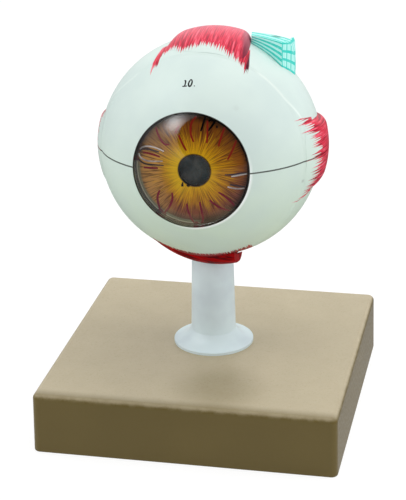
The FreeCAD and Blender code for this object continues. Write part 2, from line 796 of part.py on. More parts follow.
def make_clear_parts():
    """The solid lens and the vitreous body, a hollow ball with a bed for the lens."""
    lens = [
        ("0", f"-{LENS_FRONT}"),
        ("Sizes.lens_radius", f"-{LENS_SHOULDER}"),
        ("Sizes.lens_radius", f"-{LENS_HEEL}"),
        ("0", f"-{LENS_REAR_CENTRE} + Sizes.lens_rear_curve"),
    ]
    arcs = {
        0: ("Sizes.lens_front_curve", 1),
        1: ("Sizes.lens_edge_round", 1),
        2: ("Sizes.lens_rear_curve", 1),
    }
    piece("crystalline_lens", in_eye(turned_body("crystalline_lens", lens, arcs)))

    def front(inset):
        """The ball's front from its bed to the sphere, moved inwards by a wall."""
        face = f"(Sizes.vitreous_face - {inset})"
        shoulder = f"(Sizes.vitreous_shoulder - {inset} / 2)"
        bed = on_sphere(f"{BED_CURVE} + {inset}", f"{LENS_REAR_CENTRE} - {face}")
        return [
            (bed, f"-{face}"),
            (f"Sizes.vitreous_face_radius - {inset} / 4", f"-{face}"),
            (on_sphere(f"{VITREOUS_RADIUS} - {inset}", shoulder), f"-{shoulder}"),
        ]

    wall = "Sizes.vitreous_wall"
    ball = [
        *front("0"),
        ("0", VITREOUS_RADIUS),
        ("0", f"{VITREOUS_RADIUS} - {wall}"),
        *reversed(front(wall)),
        ("0", f"-{LENS_REAR_CENTRE} + {BED_CURVE} + {wall}"),
        ("0", f"-{LENS_REAR_CENTRE} + {BED_CURVE}"),
    ]
    arcs = {
        2: (VITREOUS_RADIUS, 1),
        4: (f"{VITREOUS_RADIUS} - {wall}", -1),
        7: (f"{BED_CURVE} + {wall}", 1),
        9: (BED_CURVE, -1),
    }
    piece("vitreous_body", in_eye(turned_body("vitreous_body", ball, arcs)))


# Optic nerve: a sheathed stump with the central vessels, seated in the lower half.


def make_nerve():
    end = "(Sizes.globe_radius + Sizes.nerve_stump)"
    start = f"({SCLERA_INNER} - Sizes.nerve_radius)"
    turn = nerve_turn()
    globe = primitive("Part::Sphere", "nerve_bed", {"Radius": f"{SCLERA_INNER} + Sizes.fit_gap"})

    def rod(name, radius, reach, offset="0"):
        sizes = {"Radius": radius, "Height": f"{end} + {reach} - {start}", **along_nerve(start)}
        sizes["Placement.Base.z"] = offset
        return primitive("Part::Cylinder", name, sizes, turn)

    core_radius = "Sizes.nerve_radius - Sizes.nerve_wall"
    sheath_bore = rod("sheath_bore", f"{core_radius} + Sizes.fit_gap / 2", "0")
    sheath = cut("sheath_tube", rod("sheath_rod", "Sizes.nerve_radius", "0"), sheath_bore)
    piece("optic_nerve_sheath", in_eye(cut("optic_nerve_sheath", sheath, globe)))

    core = cut("core_ended", rod("core_rod", core_radius, "0"), globe)
    for vessel, side in (("central_retinal_artery", ""), ("central_retinal_vein", "-")):
        offset = f"{side}Sizes.vessel_spacing / 2"
        bore = rod(f"{vessel}_bore", "Sizes.vessel_radius + Sizes.fit_gap / 2", "0", offset)
        core = cut(f"core_for_{vessel}", core, bore)
        blood = rod(f"{vessel}_rod", "Sizes.vessel_radius", "Sizes.vessel_stub", offset)
        piece(vessel, in_eye(cut(vessel, blood, globe)))
    piece("optic_nerve_core", in_eye(core))


# Muscles: straps cut from a bulging sphere that rises out of the globe.


def bulge_offset(rise, fade_angle):
    """How far a bulge's centre lies from the globe's, for it to rise by that much and to sink into
    the globe that far round from its peak."""
    peak = f"(Sizes.globe_radius + {rise})"
    slack = f"({peak} - Sizes.globe_radius * cos({fade_angle}))"
    return f"(({peak}^2 - Sizes.globe_radius^2) / (2 * {slack}))"


def bulge(name, rise, fade_angle, direction):
    """The sphere that a muscle's outer face lies on. direction is its peak's x, y and z."""
    offset = bulge_offset(rise, fade_angle)
    sizes = {"Radius": f"Sizes.globe_radius + {rise} - {offset}"}
    for axis, share in zip("xyz", direction):
        sizes[f"Placement.Base.{axis}"] = f"{offset} * ({share})"
    return primitive("Part::Sphere", name, sizes)


def rounded(name, solid, radius, wanted):
    """A Part fillet on the edges that wanted(edge) picks."""
    doc.recompute()
    shape, size = solid.Shape, number(radius)
    fillet = doc.addObject("Part::Fillet", name)
    fillet.Base = solid
    fillet.Edges = [
        (index, size, size)
        for index, edge in enumerate(shape.Edges, start=1)
        if len(shape.ancestorsOfType(edge, Part.Face)) == 2 and wanted(edge)
    ]
    return fillet


def far_out(edge):
    """True for an edge whose middle lies outside the globe."""
    middle = edge.valueAt((edge.FirstParameter + edge.LastParameter) / 2)
    return middle.Length > number("Sizes.globe_radius")


def strap(name, turn_angle, rise, widths, side=0, front=MUSCLE_FRONT, back="Sizes.muscle_back", lean=0):
    """A strap that lies along the globe. turn_angle turns it from the top towards the nasal side;
    side keeps only the part to the left (-1) or right (1) of its own midline; lean turns its peak
    further towards the nasal side, so that this side stands higher."""
    turn = Rotation(Vector(0, 1, 0), turn_angle)
    up = Rotation(Vector(0, 1, 0), turn_angle + lean).multVec(Vector(0, 0, 1))
    fade = "Sizes.muscle_peak_angle - Sizes.crease_angle"
    direction = (
        f"{up.x:.6f} * sin(Sizes.muscle_peak_angle)",
        "-cos(Sizes.muscle_peak_angle)",
        f"{up.z:.6f} * sin(Sizes.muscle_peak_angle)",
    )
    dome = bulge(f"{name}_dome", rise, fade, direction)
    at_front, at_back = widths
    low_front, low_back = (f"-{at_front}", f"-{at_back}") if side <= 0 else ("0", "0")
    high_front, high_back = (at_front, at_back) if side >= 0 else ("0", "0")
    wedge = primitive(
        "Part::Wedge",
        f"{name}_wedge",
        {
            "Ymin": front,
            "Ymax": back,
            "Xmin": low_front,
            "Xmax": high_front,
            "X2min": low_back,
            "X2max": high_back,
            "Zmin": "0",
            "Z2min": "0",
            "Zmax": STRAP_DEPTH,
            "Z2max": STRAP_DEPTH,
        },
        turn,
    )
    return common(f"{name}_block", dome, wedge)


def make_recti():
    globe = primitive("Part::Sphere", "muscle_bed", {"Radius": MUSCLE_BED})
    tall = ("Sizes.tall_strap_front", "Sizes.tall_strap_back")
    wide = ("Sizes.side_strap_front", "Sizes.side_strap_back")
    low = ("Sizes.low_strap_front", "Sizes.low_strap_back")

    superior = strap("superior", 0, "Sizes.superior_rise", tall, lean=number("Sizes.superior_lean_angle"))
    superior = rounded("superior_rounded", superior, "Sizes.muscle_edge_round", along_strap)
    piece("superior_rectus", in_eye(cut("superior_rectus", superior, globe)))

    socket = primitive(
        "Part::Cylinder",
        "socket_clearance",
        {
            "Radius": "Sizes.shaft_top_radius + Sizes.fit_gap",
            "Height": "Sizes.globe_height",
            "Placement.Base.y": "Sizes.globe_height * sin(Sizes.gaze_tilt)",
            "Placement.Base.z": "-Sizes.globe_height * cos(Sizes.gaze_tilt)",
        },
        Rotation(Vector(1, 0, 0), number("Sizes.gaze_tilt")),
    )
    inferior = strap("inferior", HALF_TURN, "Sizes.inferior_rise", low)
    inferior = rounded("inferior_rounded", inferior, "Sizes.muscle_edge_round", along_strap)
    inferior = cut("inferior_seated", inferior, globe)
    piece("inferior_rectus", in_eye(cut("inferior_rectus", inferior, socket)))
    make_inferior_oblique(globe, socket)

    seam = primitive(
        "Part::Box",
        "muscle_seam",
        {
            "Length": "Sizes.globe_radius * 4",
            "Width": "Sizes.globe_radius * 4",
            "Height": "Sizes.seam_gap",
            "Placement.Base.x": "-Sizes.globe_radius * 2",
            "Placement.Base.y": "-Sizes.globe_radius * 2",
        },
    )
    for muscle, turn_angle, upper_side in (("medial", 90, -1), ("lateral", -90, 1)):
        for half, side in (("upper", upper_side), ("lower", -upper_side)):
            name = f"{muscle}_rectus_{half}"
            block = strap(f"{muscle}_{half}", turn_angle, f"Sizes.{muscle}_rise", wide, side)
            block = rounded(f"{name}_rounded", block, "Sizes.muscle_edge_round", outer_long_edge)
            muscle_part = cut(f"{name}_seated", block, globe)
            if half == "upper":
                muscle_part = cut(name, muscle_part, seam)
            piece(name, in_eye(muscle_part))


def along_strap(edge):
    """A strap's outer edges, apart from the one at its front."""
    box = edge.BoundBox
    return far_out(edge) and box.YMax > number(MUSCLE_FRONT) + 1


def outer_long_edge(edge):
    """The same on half a strap, whose edge at the parting plane stays sharp."""
    box = edge.BoundBox
    at_seam = max(abs(box.ZMin), abs(box.ZMax)) < number("Sizes.seam_gap")
    return along_strap(edge) and not at_seam


def long_edge(edge):
    """A band's two long outer edges."""
    return far_out(edge) and edge.Length > number("Sizes.globe_radius")


def make_inferior_oblique(globe, socket):
    polar, clock = "Sizes.oblique_polar_angle", "Sizes.oblique_clock_angle"
    direction = (
        f"sin({polar}) * cos({clock})",
        f"-cos({polar})",
        f"-sin({polar}) * sin({clock})",
    )
    dome = bulge("oblique_dome", "Sizes.oblique_rise", "Sizes.oblique_fade_angle", direction)
    turn = Rotation(Vector(0, 0, 1), -number("Sizes.oblique_skew_angle"))
    across = "Sizes.oblique_temporal_end"
    slab = primitive(
        "Part::Box",
        "oblique_slab",
        {
            "Length": f"{across} + Sizes.oblique_nasal_end",
            "Width": "Sizes.oblique_width",
            "Height": STRAP_DEPTH,
            "Placement.Base.x": f"-{across} * cos(Sizes.oblique_skew_angle)",
            "Placement.Base.y": f"-Sizes.oblique_front + {across} * sin(Sizes.oblique_skew_angle)",
            "Placement.Base.z": f"-{STRAP_DEPTH}",
        },
        turn,
    )
    band = common("oblique_block", dome, slab)
    band = rounded("oblique_rounded", band, "Sizes.oblique_edge_round", long_edge)
    band = cut("oblique_seated", band, globe)
    strap_widths = ("Sizes.low_strap_front", "Sizes.low_strap_back")
    under = tuple(f"({width} + Sizes.fit_gap)" for width in strap_widths)
    rectus = strap("rectus_clearance", HALF_TURN, "(Sizes.inferior_rise + Sizes.fit_gap)", under)
    band = cut("oblique_over_rectus", band, rectus)
    piece("inferior_oblique", in_eye(cut("inferior_oblique", band, socket)))


# Superior oblique: its pulley, the tendon that fans out to it and the muscle behind it.


def prism_on_globe(name, corners, top):
    """An upright prism over corners, in plan, with a level top."""
    body = new_body(name)
    sketch = outline(new_sketch(body, f"{name}_plan", "XY_Plane"), corners)
    extrude(body, "Pad", f"{name}_prism", sketch, top)
    return body


def crowned(name, block):
    """A block cut down to the low crown that the tendon and its pulley share."""
    crown = primitive(
        "Part::Cylinder",
        f"{name}_crown",
        {
            "Radius": "Sizes.crown_curve",
            "Height": "Sizes.globe_radius * 2",
            "Placement.Base.x": "Sizes.crown_side",
            "Placement.Base.y": "-Sizes.globe_radius",
            "Placement.Base.z": "Sizes.crown_height",
        },
        LOOKING_BACK,
    )
    return common(f"{name}_crowned", block, crown)


def make_superior_oblique():
    globe = primitive("Part::Sphere", "oblique_bed", {"Radius": MUSCLE_BED})
    corner = ("Sizes.pulley_front_x", "-Sizes.pulley_front_y")
    inner = ("Sizes.pulley_inner_x", "-Sizes.pulley_back_y")
    pulley = [
        corner,
        ("Sizes.pulley_side_x", "-Sizes.pulley_side_y"),
        ("Sizes.pulley_back_x", "-Sizes.pulley_back_y"),
        inner,
    ]
    body = prism_on_globe("trochlea_block", pulley, "Sizes.tendon_block")
    barrel = primitive(
        "Part::Cylinder",
        "trochlea_barrel",
        {
            "Radius": "Sizes.pulley_curve",
            "Height": "Sizes.globe_radius * 2",
            "Placement.Base.x": "Sizes.pulley_side_x - Sizes.pulley_curve",
            "Placement.Base.y": "-Sizes.globe_radius",
            "Placement.Base.z": "Sizes.pulley_curve_height",
        },
        LOOKING_BACK,
    )
    block = crowned("trochlea", common("trochlea_curved", body, barrel))
    piece("trochlea", in_eye(cut("trochlea", block, globe)))

    near, far = "-Sizes.tendon_narrow_front", "-Sizes.tendon_narrow_back"
    wide = "-Sizes.tendon_wide_back"
    lean = "((Sizes.pulley_inner_x - Sizes.pulley_front_x) / (Sizes.pulley_front_y - Sizes.pulley_back_y))"
    fan = [
        (f"{strap_edge(near)} + Sizes.fit_gap", near),
        ("Sizes.pulley_front_x - Sizes.fit_gap", "-Sizes.pulley_front_y"),
        (f"Sizes.pulley_front_x - Sizes.fit_gap + {lean} * ({wide} + Sizes.pulley_front_y)", wide),
        (f"{strap_edge(far)} + Sizes.fit_gap", far),
    ]
    body = crowned("tendon", prism_on_globe("superior_oblique_fan", fan, "Sizes.tendon_block"))
    piece("superior_oblique_tendon", in_eye(cut("superior_oblique_tendon", body, globe)))

    widths = ("Sizes.oblique_muscle_front", "Sizes.oblique_muscle_back")
    muscle = strap(
        "superior_oblique",
        number("Sizes.oblique_muscle_angle"),
        "Sizes.oblique_muscle_rise",
        widths,
        front="-Sizes.pulley_back_y + Sizes.fit_gap",
        back="Sizes.oblique_muscle_end",
    )
    muscle = rounded("superior_oblique_rounded", muscle, "Sizes.oblique_muscle_round", far_out)
    piece("superior_oblique", in_eye(cut("superior_oblique", muscle, globe)))


def check_and_write():
    """Stops on any failed object or bad shape, then writes each piece's own file."""
    doc.recompute()
    for thing in doc.Objects:
        if {"Invalid", "Error"} & set(thing.State):
            raise RuntimeError(f"{thing.Name} failed: {thing.State}")
    os.makedirs("parts", exist_ok=True)
    for name, thing in pieces:
        shape = thing.Shape
        if shape.isNull() or not shape.isValid() or not shape.Solids:
            raise RuntimeError(f"{name} has a bad shape")
        shape.exportStep(f"parts/{name}.step")
        print(f"{name}: {len(shape.Solids)} solid(s), {shape.Volume / 1000:.2f} cm3")


make_base()
make_stand()
make_globe()
make_inner_half("lower", False)
make_inner_half("upper", True)
make_clear_parts()
make_nerve()
make_recti()
make_superior_oblique()
check_and_write()
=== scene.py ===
"""Eye anatomy model on its stand: finishes, painted details and studio, laid out as an add-on."""

import json
import math
from collections import namedtuple
from functools import partial

import bmesh
import bpy
from mathutils import Matrix, Vector
from mathutils.bvhtree import BVHTree


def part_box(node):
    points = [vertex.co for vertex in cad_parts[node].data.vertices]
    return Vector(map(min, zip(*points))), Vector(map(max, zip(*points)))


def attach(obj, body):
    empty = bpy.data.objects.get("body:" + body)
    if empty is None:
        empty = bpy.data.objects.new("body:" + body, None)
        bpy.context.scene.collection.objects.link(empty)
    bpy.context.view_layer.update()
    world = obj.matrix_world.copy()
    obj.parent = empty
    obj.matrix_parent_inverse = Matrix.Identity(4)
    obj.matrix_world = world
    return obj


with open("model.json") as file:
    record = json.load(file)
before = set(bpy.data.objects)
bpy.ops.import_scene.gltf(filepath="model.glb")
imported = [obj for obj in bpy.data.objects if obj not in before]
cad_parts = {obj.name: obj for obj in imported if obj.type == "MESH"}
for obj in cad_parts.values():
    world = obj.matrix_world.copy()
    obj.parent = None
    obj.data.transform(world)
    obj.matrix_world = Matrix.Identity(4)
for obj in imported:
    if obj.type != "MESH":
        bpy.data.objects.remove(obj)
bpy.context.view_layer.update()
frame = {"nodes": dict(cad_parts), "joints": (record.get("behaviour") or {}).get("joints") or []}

bl_info = {
    "name": "Eye anatomy model",
    "version": (1, 0, 0),
    "blender": (4, 5, 0),
    "location": "View3D > Sidebar > Eye model",
    "description": "Paints the eye anatomy model and sets it in a plain studio",
    "category": "Object",
}

NODES = frame["nodes"]
MM = 0.001

# The eye's own axes: nasal is +X, BACK runs from the cornea to the nerve, LIFT is where the upper shell goes.
NASAL = Vector((1, 0, 0))
LIFT = Vector(next(j["axis"] for j in frame["joints"] if j["name"] == "upper_shell_lift")).normalized()
BACK = LIFT.cross(NASAL).normalized()
SHELL_LOW, SHELL_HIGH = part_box("sclera_upper")
GLOBE = (SHELL_HIGH.x - SHELL_LOW.x) / 2
CENTRE = Vector(((SHELL_LOW.x + SHELL_HIGH.x) / 2, SHELL_HIGH.y - GLOBE, SHELL_HIGH.z - GLOBE))

# Millimetres in the eye's axes
GLOBE_MM = GLOBE / MM
IRIS_EDGE = 34.8
IRIS_PLANE = -58.5
PUPIL = (1.5, -0.8)
PUPIL_EDGE = 10.35
RIM = 37.6
SEAM = 0.25
PRINT_RADIUS = 72.5
# Degrees from the front pole to the line where the front of the upper shell steps in
CREASE = 67.5

WHITE = (1.0, 1.0, 1.0)


def in_eye(x, y, z):
    """The place of a point given in millimetres in the eye's axes."""
    return CENTRE + (NASAL * x + BACK * y + LIFT * z) * MM


def from_screen(red, green, blue):
    """The linear values of a colour given as it looks on a screen, 0 to 255."""
    linear = []
    for value in (red / 255, green / 255, blue / 255):
        linear.append(value / 12.92 if value <= 0.04045 else ((value + 0.055) / 1.055) ** 2.4)
    return tuple(linear)


def setting(kind, name, description, default, **settings):
    return kind(name=name, description=description, default=default, **settings)


number = partial(setting, bpy.props.FloatProperty)
strength = partial(number, min=0.0)
factor = partial(number, subtype="FACTOR", min=0.0, max=1.0)
length = partial(number, unit="LENGTH", subtype="DISTANCE", min=0.0)
spot = partial(setting, bpy.props.FloatVectorProperty, subtype="TRANSLATION")


def colour(name, description, *screen):
    limits = {"subtype": "COLOR", "min": 0.0, "max": 1.0}
    return setting(bpy.props.FloatVectorProperty, name, description, from_screen(*screen), **limits)


# Sizes and colours


class StandLook(bpy.types.PropertyGroup):
    tan: colour("Tan", "Plastic of the base", 100, 84, 31)
    # This pale colour is dust and also the painted sheen and edge highlight on the base
    dust_and_sheen: colour("Dust", "Pale dust on faces that look up", 233, 220, 191)
    dust_and_sheen_amount: factor("Dust amount", "How much dust lies on the base", 0.55)
    post: colour("Post", "Plastic of the post and its foot", 222, 238, 242)
    brass: colour("Brass", "Threaded insert", 196, 158, 82)
    steel: colour("Steel", "Bolt and washer", 178, 180, 184)


class ShellLook(bpy.types.PropertyGroup):
    white_high: colour("White above", "White paint of the upper shell", 220, 236, 230)
    # Towards the underside the white is partly painted bounce light from the tan base
    white_low: colour("White below", "White paint towards the underside", 208, 228, 208)
    blotch: colour("Blotch", "Faint uneven tone of the white paint", 196, 214, 214)
    # A painted highlight on the edge of the step
    crease: colour("Crease", "Light line where the front rim steps in", 240, 252, 246)
    seam: colour("Seam", "Dark line between the two shells", 50, 52, 44)
    ledge: colour("Ledge", "Seat of the cornea", 46, 30, 24)
    # A painted highlight on the shell's rounded edge below the cornea
    edge_highlight: colour("Bright edge", "Polished edge below the cornea", 250, 255, 252)
    inside: colour("Inside", "Inner wall of the white shells", 214, 208, 190)
    smudge: colour("Smudge", "Handling marks", 150, 158, 152)


class IrisLook(bpy.types.PropertyGroup):
    gold: colour("Gold", "Paint next to the pupil", 234, 178, 0)
    # Painted light on the temporal side by the pupil
    lit_side_yellow: colour("Yellow", "Paint next to the pupil, towards the temple", 255, 224, 10)
    amber: colour("Amber", "Paint a third of the way out", 206, 138, 4)
    brown: colour("Brown", "Paint two thirds of the way out", 172, 96, 12)
    rim: colour("Rim", "Paint at the outer edge", 62, 36, 30)
    high_rim: colour("Upper rim", "Paint at the upper edge", 54, 24, 0)
    # The band and its line are a painted glint of the lit ledge seen through the cornea's rim
    moulding: colour("Moulding", "Grey-green band at the lower temporal edge", 136, 144, 116)
    glint: colour("Moulding line", "Light line along that band", 255, 252, 222)
    dark_streak: colour("Dark streak", "Fine lines that run outwards", 74, 34, 12)
    plum: colour("Plum", "Tone of the lower half", 136, 70, 70)
    temple: colour("Temporal side", "Paler tone towards the temple", 226, 168, 84)
    umber: colour("Umber", "Darker tone of the upper half", 116, 62, 0)
    vessel: colour("Vessel", "Blood vessels of the upper half", 158, 34, 10)
    low_vessel: colour("Lower vessel", "Blood vessels of the lower half", 136, 14, 44)
    nerve: colour("Nerve", "Painted nerve lines", 232, 222, 216)
    shade_line: colour("Shade line", "Dark lines beside the nerves", 62, 42, 52)
    rear: colour("Rear", "Dark paint on the back of the iris", 30, 20, 18)
    ink: colour("Ink", "Hand-written numbers", 14, 10, 12)
    blot: colour("Blot", "Paint where vessels end on the ledge", 132, 6, 46)
    vessel_width: length("Vessel width", "Half width of a painted vessel", 0.0007)
    ink_width: length("Ink width", "Half width of a pen line", 0.00056)


class MuscleLook(bpy.types.PropertyGroup):
    crimson: colour("Crimson", "Upper and side muscles", 224, 34, 66)
    pink: colour("Pink", "Pale fibres", 255, 128, 150)
    wine: colour("Wine", "Dark fibres", 158, 8, 42)
    deep_red: colour("Deep red", "Muscles under the globe", 166, 0, 4)
    blood: colour("Blood", "Dark fibres under the globe", 84, 0, 10)
    side_shade: colour("Side shade", "Wall of the upper muscle", 84, 8, 42)


class TendonLook(bpy.types.PropertyGroup):
    cyan: colour("Cyan", "Ground colour of the tendon and pulley", 186, 255, 244)
    # Painted light: a brighter cyan that lifts the shade on faces that look ahead
    front_brightened_cyan: colour("Front cyan", "Ground colour of the faces that look ahead", 192, 255, 248)
    teal: colour("Teal", "Stripes of the tendon and pulley", 44, 220, 206)
    # A dark green spot painted on the top edge
    green_spot: colour("Green spot", "Glue mark on the top edge", 28, 96, 84)


class InnerLook(bpy.types.PropertyGroup):
    choroid: colour("Choroid", "Vessel layer", 104, 48, 36)
    choroid_vein: colour("Choroid vein", "Net of vessels in that layer", 150, 62, 44)
    retina: colour("Retina", "Light-sensing layer", 226, 128, 62)
    retina_edge: colour("Retina edge", "Towards its front edge", 204, 96, 52)
    ciliary: colour("Ciliary body", "Ring of folds behind the iris", 118, 72, 46)
    ciliary_fold: colour("Folds", "Dark valleys between the folds", 58, 32, 24)
    lens: colour("Lens", "Clear lens", 226, 244, 230)
    lens_cloud: colour("Lens cloud", "Darker swirls in the lens", 150, 168, 176)
    gel: colour("Vitreous", "Clear ball", 236, 242, 244)
    sheath: colour("Nerve sheath", "White sleeve of the nerve", 226, 222, 208)
    nerve: colour("Nerve", "Yellow core of the nerve", 226, 190, 92)
    artery: colour("Artery", "Red vessel in the nerve", 184, 20, 28)
    vein: colour("Vein", "Blue vessel in the nerve", 44, 72, 156)


class StudioLook(bpy.types.PropertyGroup):
    focal_length: number("Focal length", "Lens of the camera", 126.27, subtype="DISTANCE_CAMERA")
    camera_place: spot("Camera place", "Where the camera stands", (0.22664, -1.07153, 0.5589))
    camera_aim: spot("Camera aim", "Point in the middle of the view", (0.00116, -0.03171, 0.12251))
    camera_roll: number("Camera roll", "Turn about the line of sight", math.radians(-1.04), subtype="ANGLE")
    ambient: strength("Ambient", "Even light from all sides", 0.7)
    window: strength("Window", "Brightness of the softbox that mirrors in the cornea", 5)
    top_power: strength("Top softbox", "Watts of the softbox above and behind", 6.3)
    side_power: strength("Side softbox", "Watts of the softbox at the left", 4.2)
    right_power: strength("Right softbox", "Watts of the softbox at the right", 3.3)


# Node trees


def cleared(owner):
    """The emptied node tree of a new material or world."""
    owner.use_nodes = True
    owner.node_tree.nodes.clear()
    return owner.node_tree


def feed(sockets, values):
    """Sets the sockets. A value may be another socket, a number or a colour."""
    for key, value in values.items():
        if isinstance(value, bpy.types.NodeSocket):
            value.id_data.links.new(value, sockets[key])
        elif sockets[key].type == "RGBA":
            sockets[key].default_value = (*value[:3], 1)
        else:
            sockets[key].default_value = value


def add(tree, kind, values=None, **settings):
    """The outputs of a new node in the tree."""
    node = tree.nodes.new(kind)
    for name, value in settings.items():
        setattr(node, name, value)
    feed(node.inputs, values or {})
    return node.outputs


def join(kind, values, **settings):
    """The outputs of a new node in the tree that the sockets among its values belong to."""
    tree = next(value.id_data for value in values.values() if isinstance(value, bpy.types.NodeSocket))
    return add(tree, kind, values, **settings)


def calc(operation, *values):
    return join("ShaderNodeMath", dict(enumerate(values)), operation=operation)[0]


total = partial(calc, "ADD")
minus = partial(calc, "SUBTRACT")
ratio = partial(calc, "DIVIDE")
highest = partial(calc, "MAXIMUM")


def times(product, *values):
    for value in values:
        product = calc("MULTIPLY", product, value)
    return product


def plus(value, share, start):
    """The start with that share of the value added."""
    return calc("MULTIPLY_ADD", value, share, start)


def off(value, middle):
    """How far the value lies to either side of the middle."""
    return calc("ABSOLUTE", minus(value, middle))


def vector(operation, *values):
    outputs = join("ShaderNodeVectorMath", dict(enumerate(values)), operation=operation)
    return outputs["Value" if operation in ("DOT_PRODUCT", "LENGTH", "DISTANCE") else "Vector"]


dot = partial(vector, "DOT_PRODUCT")


def span(value, low, high, to_low=0, to_high=1):
    """The value eased from the range low to high into the range to_low to to_high."""
    values = {"Value": value, "From Min": low, "From Max": high, "To Min": to_low, "To Max": to_high}
    return join("ShaderNodeMapRange", values, interpolation_type="SMOOTHSTEP")["Result"]


def area(*ranges):
    """The product of several spans, each given by its values."""
    return times(*(span(*values) for values in ranges))


def mix(amount, first, second):
    return join("ShaderNodeMix", {0: amount, 6: first, 7: second}, data_type="RGBA")[2]


def choose(amount, first, second):
    """A number between two others."""
    return join("ShaderNodeMix", {0: amount, 2: first, 3: second}, data_type="FLOAT")[0]


def shade(amount, first, second):
    """A shader between two others."""
    return join("ShaderNodeMixShader", {0: amount, 1: first, 2: second})[0]


def split(value):
    return join("ShaderNodeSeparateXYZ", {0: value})


def noise(place, scale, detail=2, roughness=0.5):
    values = {"Vector": place, "Scale": scale, "Detail": detail, "Roughness": roughness}
    return join("ShaderNodeTexNoise", values)[0]


def combine(x, y, z):
    return join("ShaderNodeCombineXYZ", {0: x, 1: y, 2: z})[0]


def effect(name, build, values):
    """Places a shared effect, which is built the first time that it is asked for."""
    return join("ShaderNodeGroup", values, node_tree=bpy.data.node_groups.get(name) or build(name))


class Paint:
    """A material with one Principled shader, whose tone is laid coat by coat."""

    def __init__(self, name, tone=None, gloss=0.5, **constants):
        self.material = bpy.data.materials.new(name)
        self.tree = cleared(self.material)
        constants["Specular IOR Level"] = gloss
        self.shader = add(self.tree, "ShaderNodeBsdfPrincipled", constants)[0]
        self.output = self.tree.nodes.new("ShaderNodeOutputMaterial").inputs
        feed(self.output, {"Surface": self.shader})
        coordinates = add(self.tree, "ShaderNodeTexCoord")
        self.place, self.normal = coordinates["Object"], coordinates["Normal"]
        self.tone = tone

    def facing(self, way):
        """1 on faces that look the given way, -1 on their backs."""
        return dot(self.normal, way)

    def coat(self, mask, tone):
        self.tone = mix(mask, self.tone, tone)

    def finish(self, grain, roughness, bump, distance=0.0002):
        """Colour, uneven gloss and a slight relief from one grain."""
        relief = {"Strength": bump, "Distance": distance, "Height": grain}
        feed(self.shader.node.inputs, {
            "Base Color": self.tone,
            "Roughness": span(grain, 0.3, 0.7, roughness - 0.05, roughness + 0.07),
            "Normal": join("ShaderNodeBump", relief)[0],
        })

    def dress(self, *names):
        """Gives CAD nodes this finish."""
        for name in names:
            data = NODES[name].data
            data.materials.clear()
            data.materials.append(self.material)


# Shared effects


def new_effect(name, inputs, outputs):
    """A new shader node group with its input sockets and its output sockets."""
    tree = bpy.data.node_groups.new(name, "ShaderNodeTree")
    for label, kind in inputs.items():
        tree.interface.new_socket(name=label, in_out="INPUT", socket_type=f"NodeSocket{kind}")
    for label in outputs:
        tree.interface.new_socket(name=label, in_out="OUTPUT", socket_type="NodeSocketFloat")
    return tree, add(tree, "NodeGroupInput"), tree.nodes.new("NodeGroupOutput").inputs


AXES = ("Across", "Depth", "Height", "Polar", "Spread", "Reach")
Axes = namedtuple("Axes", [label.lower() for label in AXES])


def build_eye_axes(name):
    """Millimetres in the eye's axes, degrees from its front pole and distances from its axis and centre."""
    tree, given, put = new_effect(name, {"Place": "Vector"}, AXES)
    arm = vector("SUBTRACT", given["Place"], CENTRE)
    across, depth, height = (dot(arm, axis / MM) for axis in (NASAL, BACK, LIFT))
    spread = vector("LENGTH", combine(across, height, 0))
    reach = ratio(vector("LENGTH", arm), MM)
    polar = calc("DEGREES", calc("ARCTAN2", spread, times(depth, -1)))
    feed(put, dict(zip(AXES, (across, depth, height, polar, spread, reach))))
    return tree


def build_fringe(name):
    """1 behind a painted edge of fine spikes, 0 in front of it. Edge is where the longest spikes end."""
    labels = ("Across", "Along", *FRINGE_LABELS)
    tree, given, put = new_effect(name, dict.fromkeys(labels, "Float"), ["Mask"])
    across, along = given["Across"], given["Along"]
    bow = times(given["Bow"], times(across, across))
    edge = total(given["Edge"], plus(given["Lean"], across, bow))
    layers = []
    # Long spikes and finer ones between them: share of the pitch, length, how much further back they end
    for share, size, back in ((1, 1, 0), (0.42, 0.75, 0.195)):
        count = total(ratio(across, times(given["Pitch"], share)), given["Seed"])
        values = {"W": count, "Scale": 1, "Randomness": 0.9}
        cell = join("ShaderNodeTexVoronoi", values, voronoi_dimensions="1D")
        slope = calc("POWER", calc("MINIMUM", times(cell["Distance"], 2.1), 1), 0.8)
        drawn = plus(cell["Color"], 0.6, times(slope, size))
        tip = plus(total(drawn, back), given["Spike"], edge)
        layers.append(span(minus(along, tip), -0.35, 0.35))
    behind = highest(total(along, 27), 0)
    reach = plus(behind, 0.15, calc("ABSOLUTE", total(across, given["Shift"])))
    side = span(minus(reach, given["Half width"]), 0.4, -0.4)
    feed(put, {"Mask": times(highest(*layers), side)})
    return tree


def build_fibres(name):
    """Long streaks that run along the given direction."""
    labels = ("Across", "Along", "Lift", "Pitch")
    tree, given, put = new_effect(name, dict.fromkeys(labels, "Float"), ["Streak", "Fine"])
    wide = ratio(given["Across"], given["Pitch"])
    tall = ratio(given["Lift"], times(given["Pitch"], 7))
    long = ratio(given["Along"], times(given["Pitch"], 22))
    place = combine(wide, long, tall)
    feed(put, {"Streak": span(noise(place, 1, 3, 0.6), 0.25, 0.75), "Fine": noise(place, 2.6, 2)})
    return tree


def build_moulding(name):
    """Broad blotches and a fine grain of painted or moulded plastic."""
    tree, given, put = new_effect(name, {"Place": "Vector", "Scale": "Float"}, ["Blotch", "Grain"])
    blotch = span(noise(given["Place"], given["Scale"], 3), 0.35, 0.7)
    feed(put, {"Blotch": blotch, "Grain": noise(given["Place"], times(given["Scale"], 28), 2, 0.6)})
    return tree


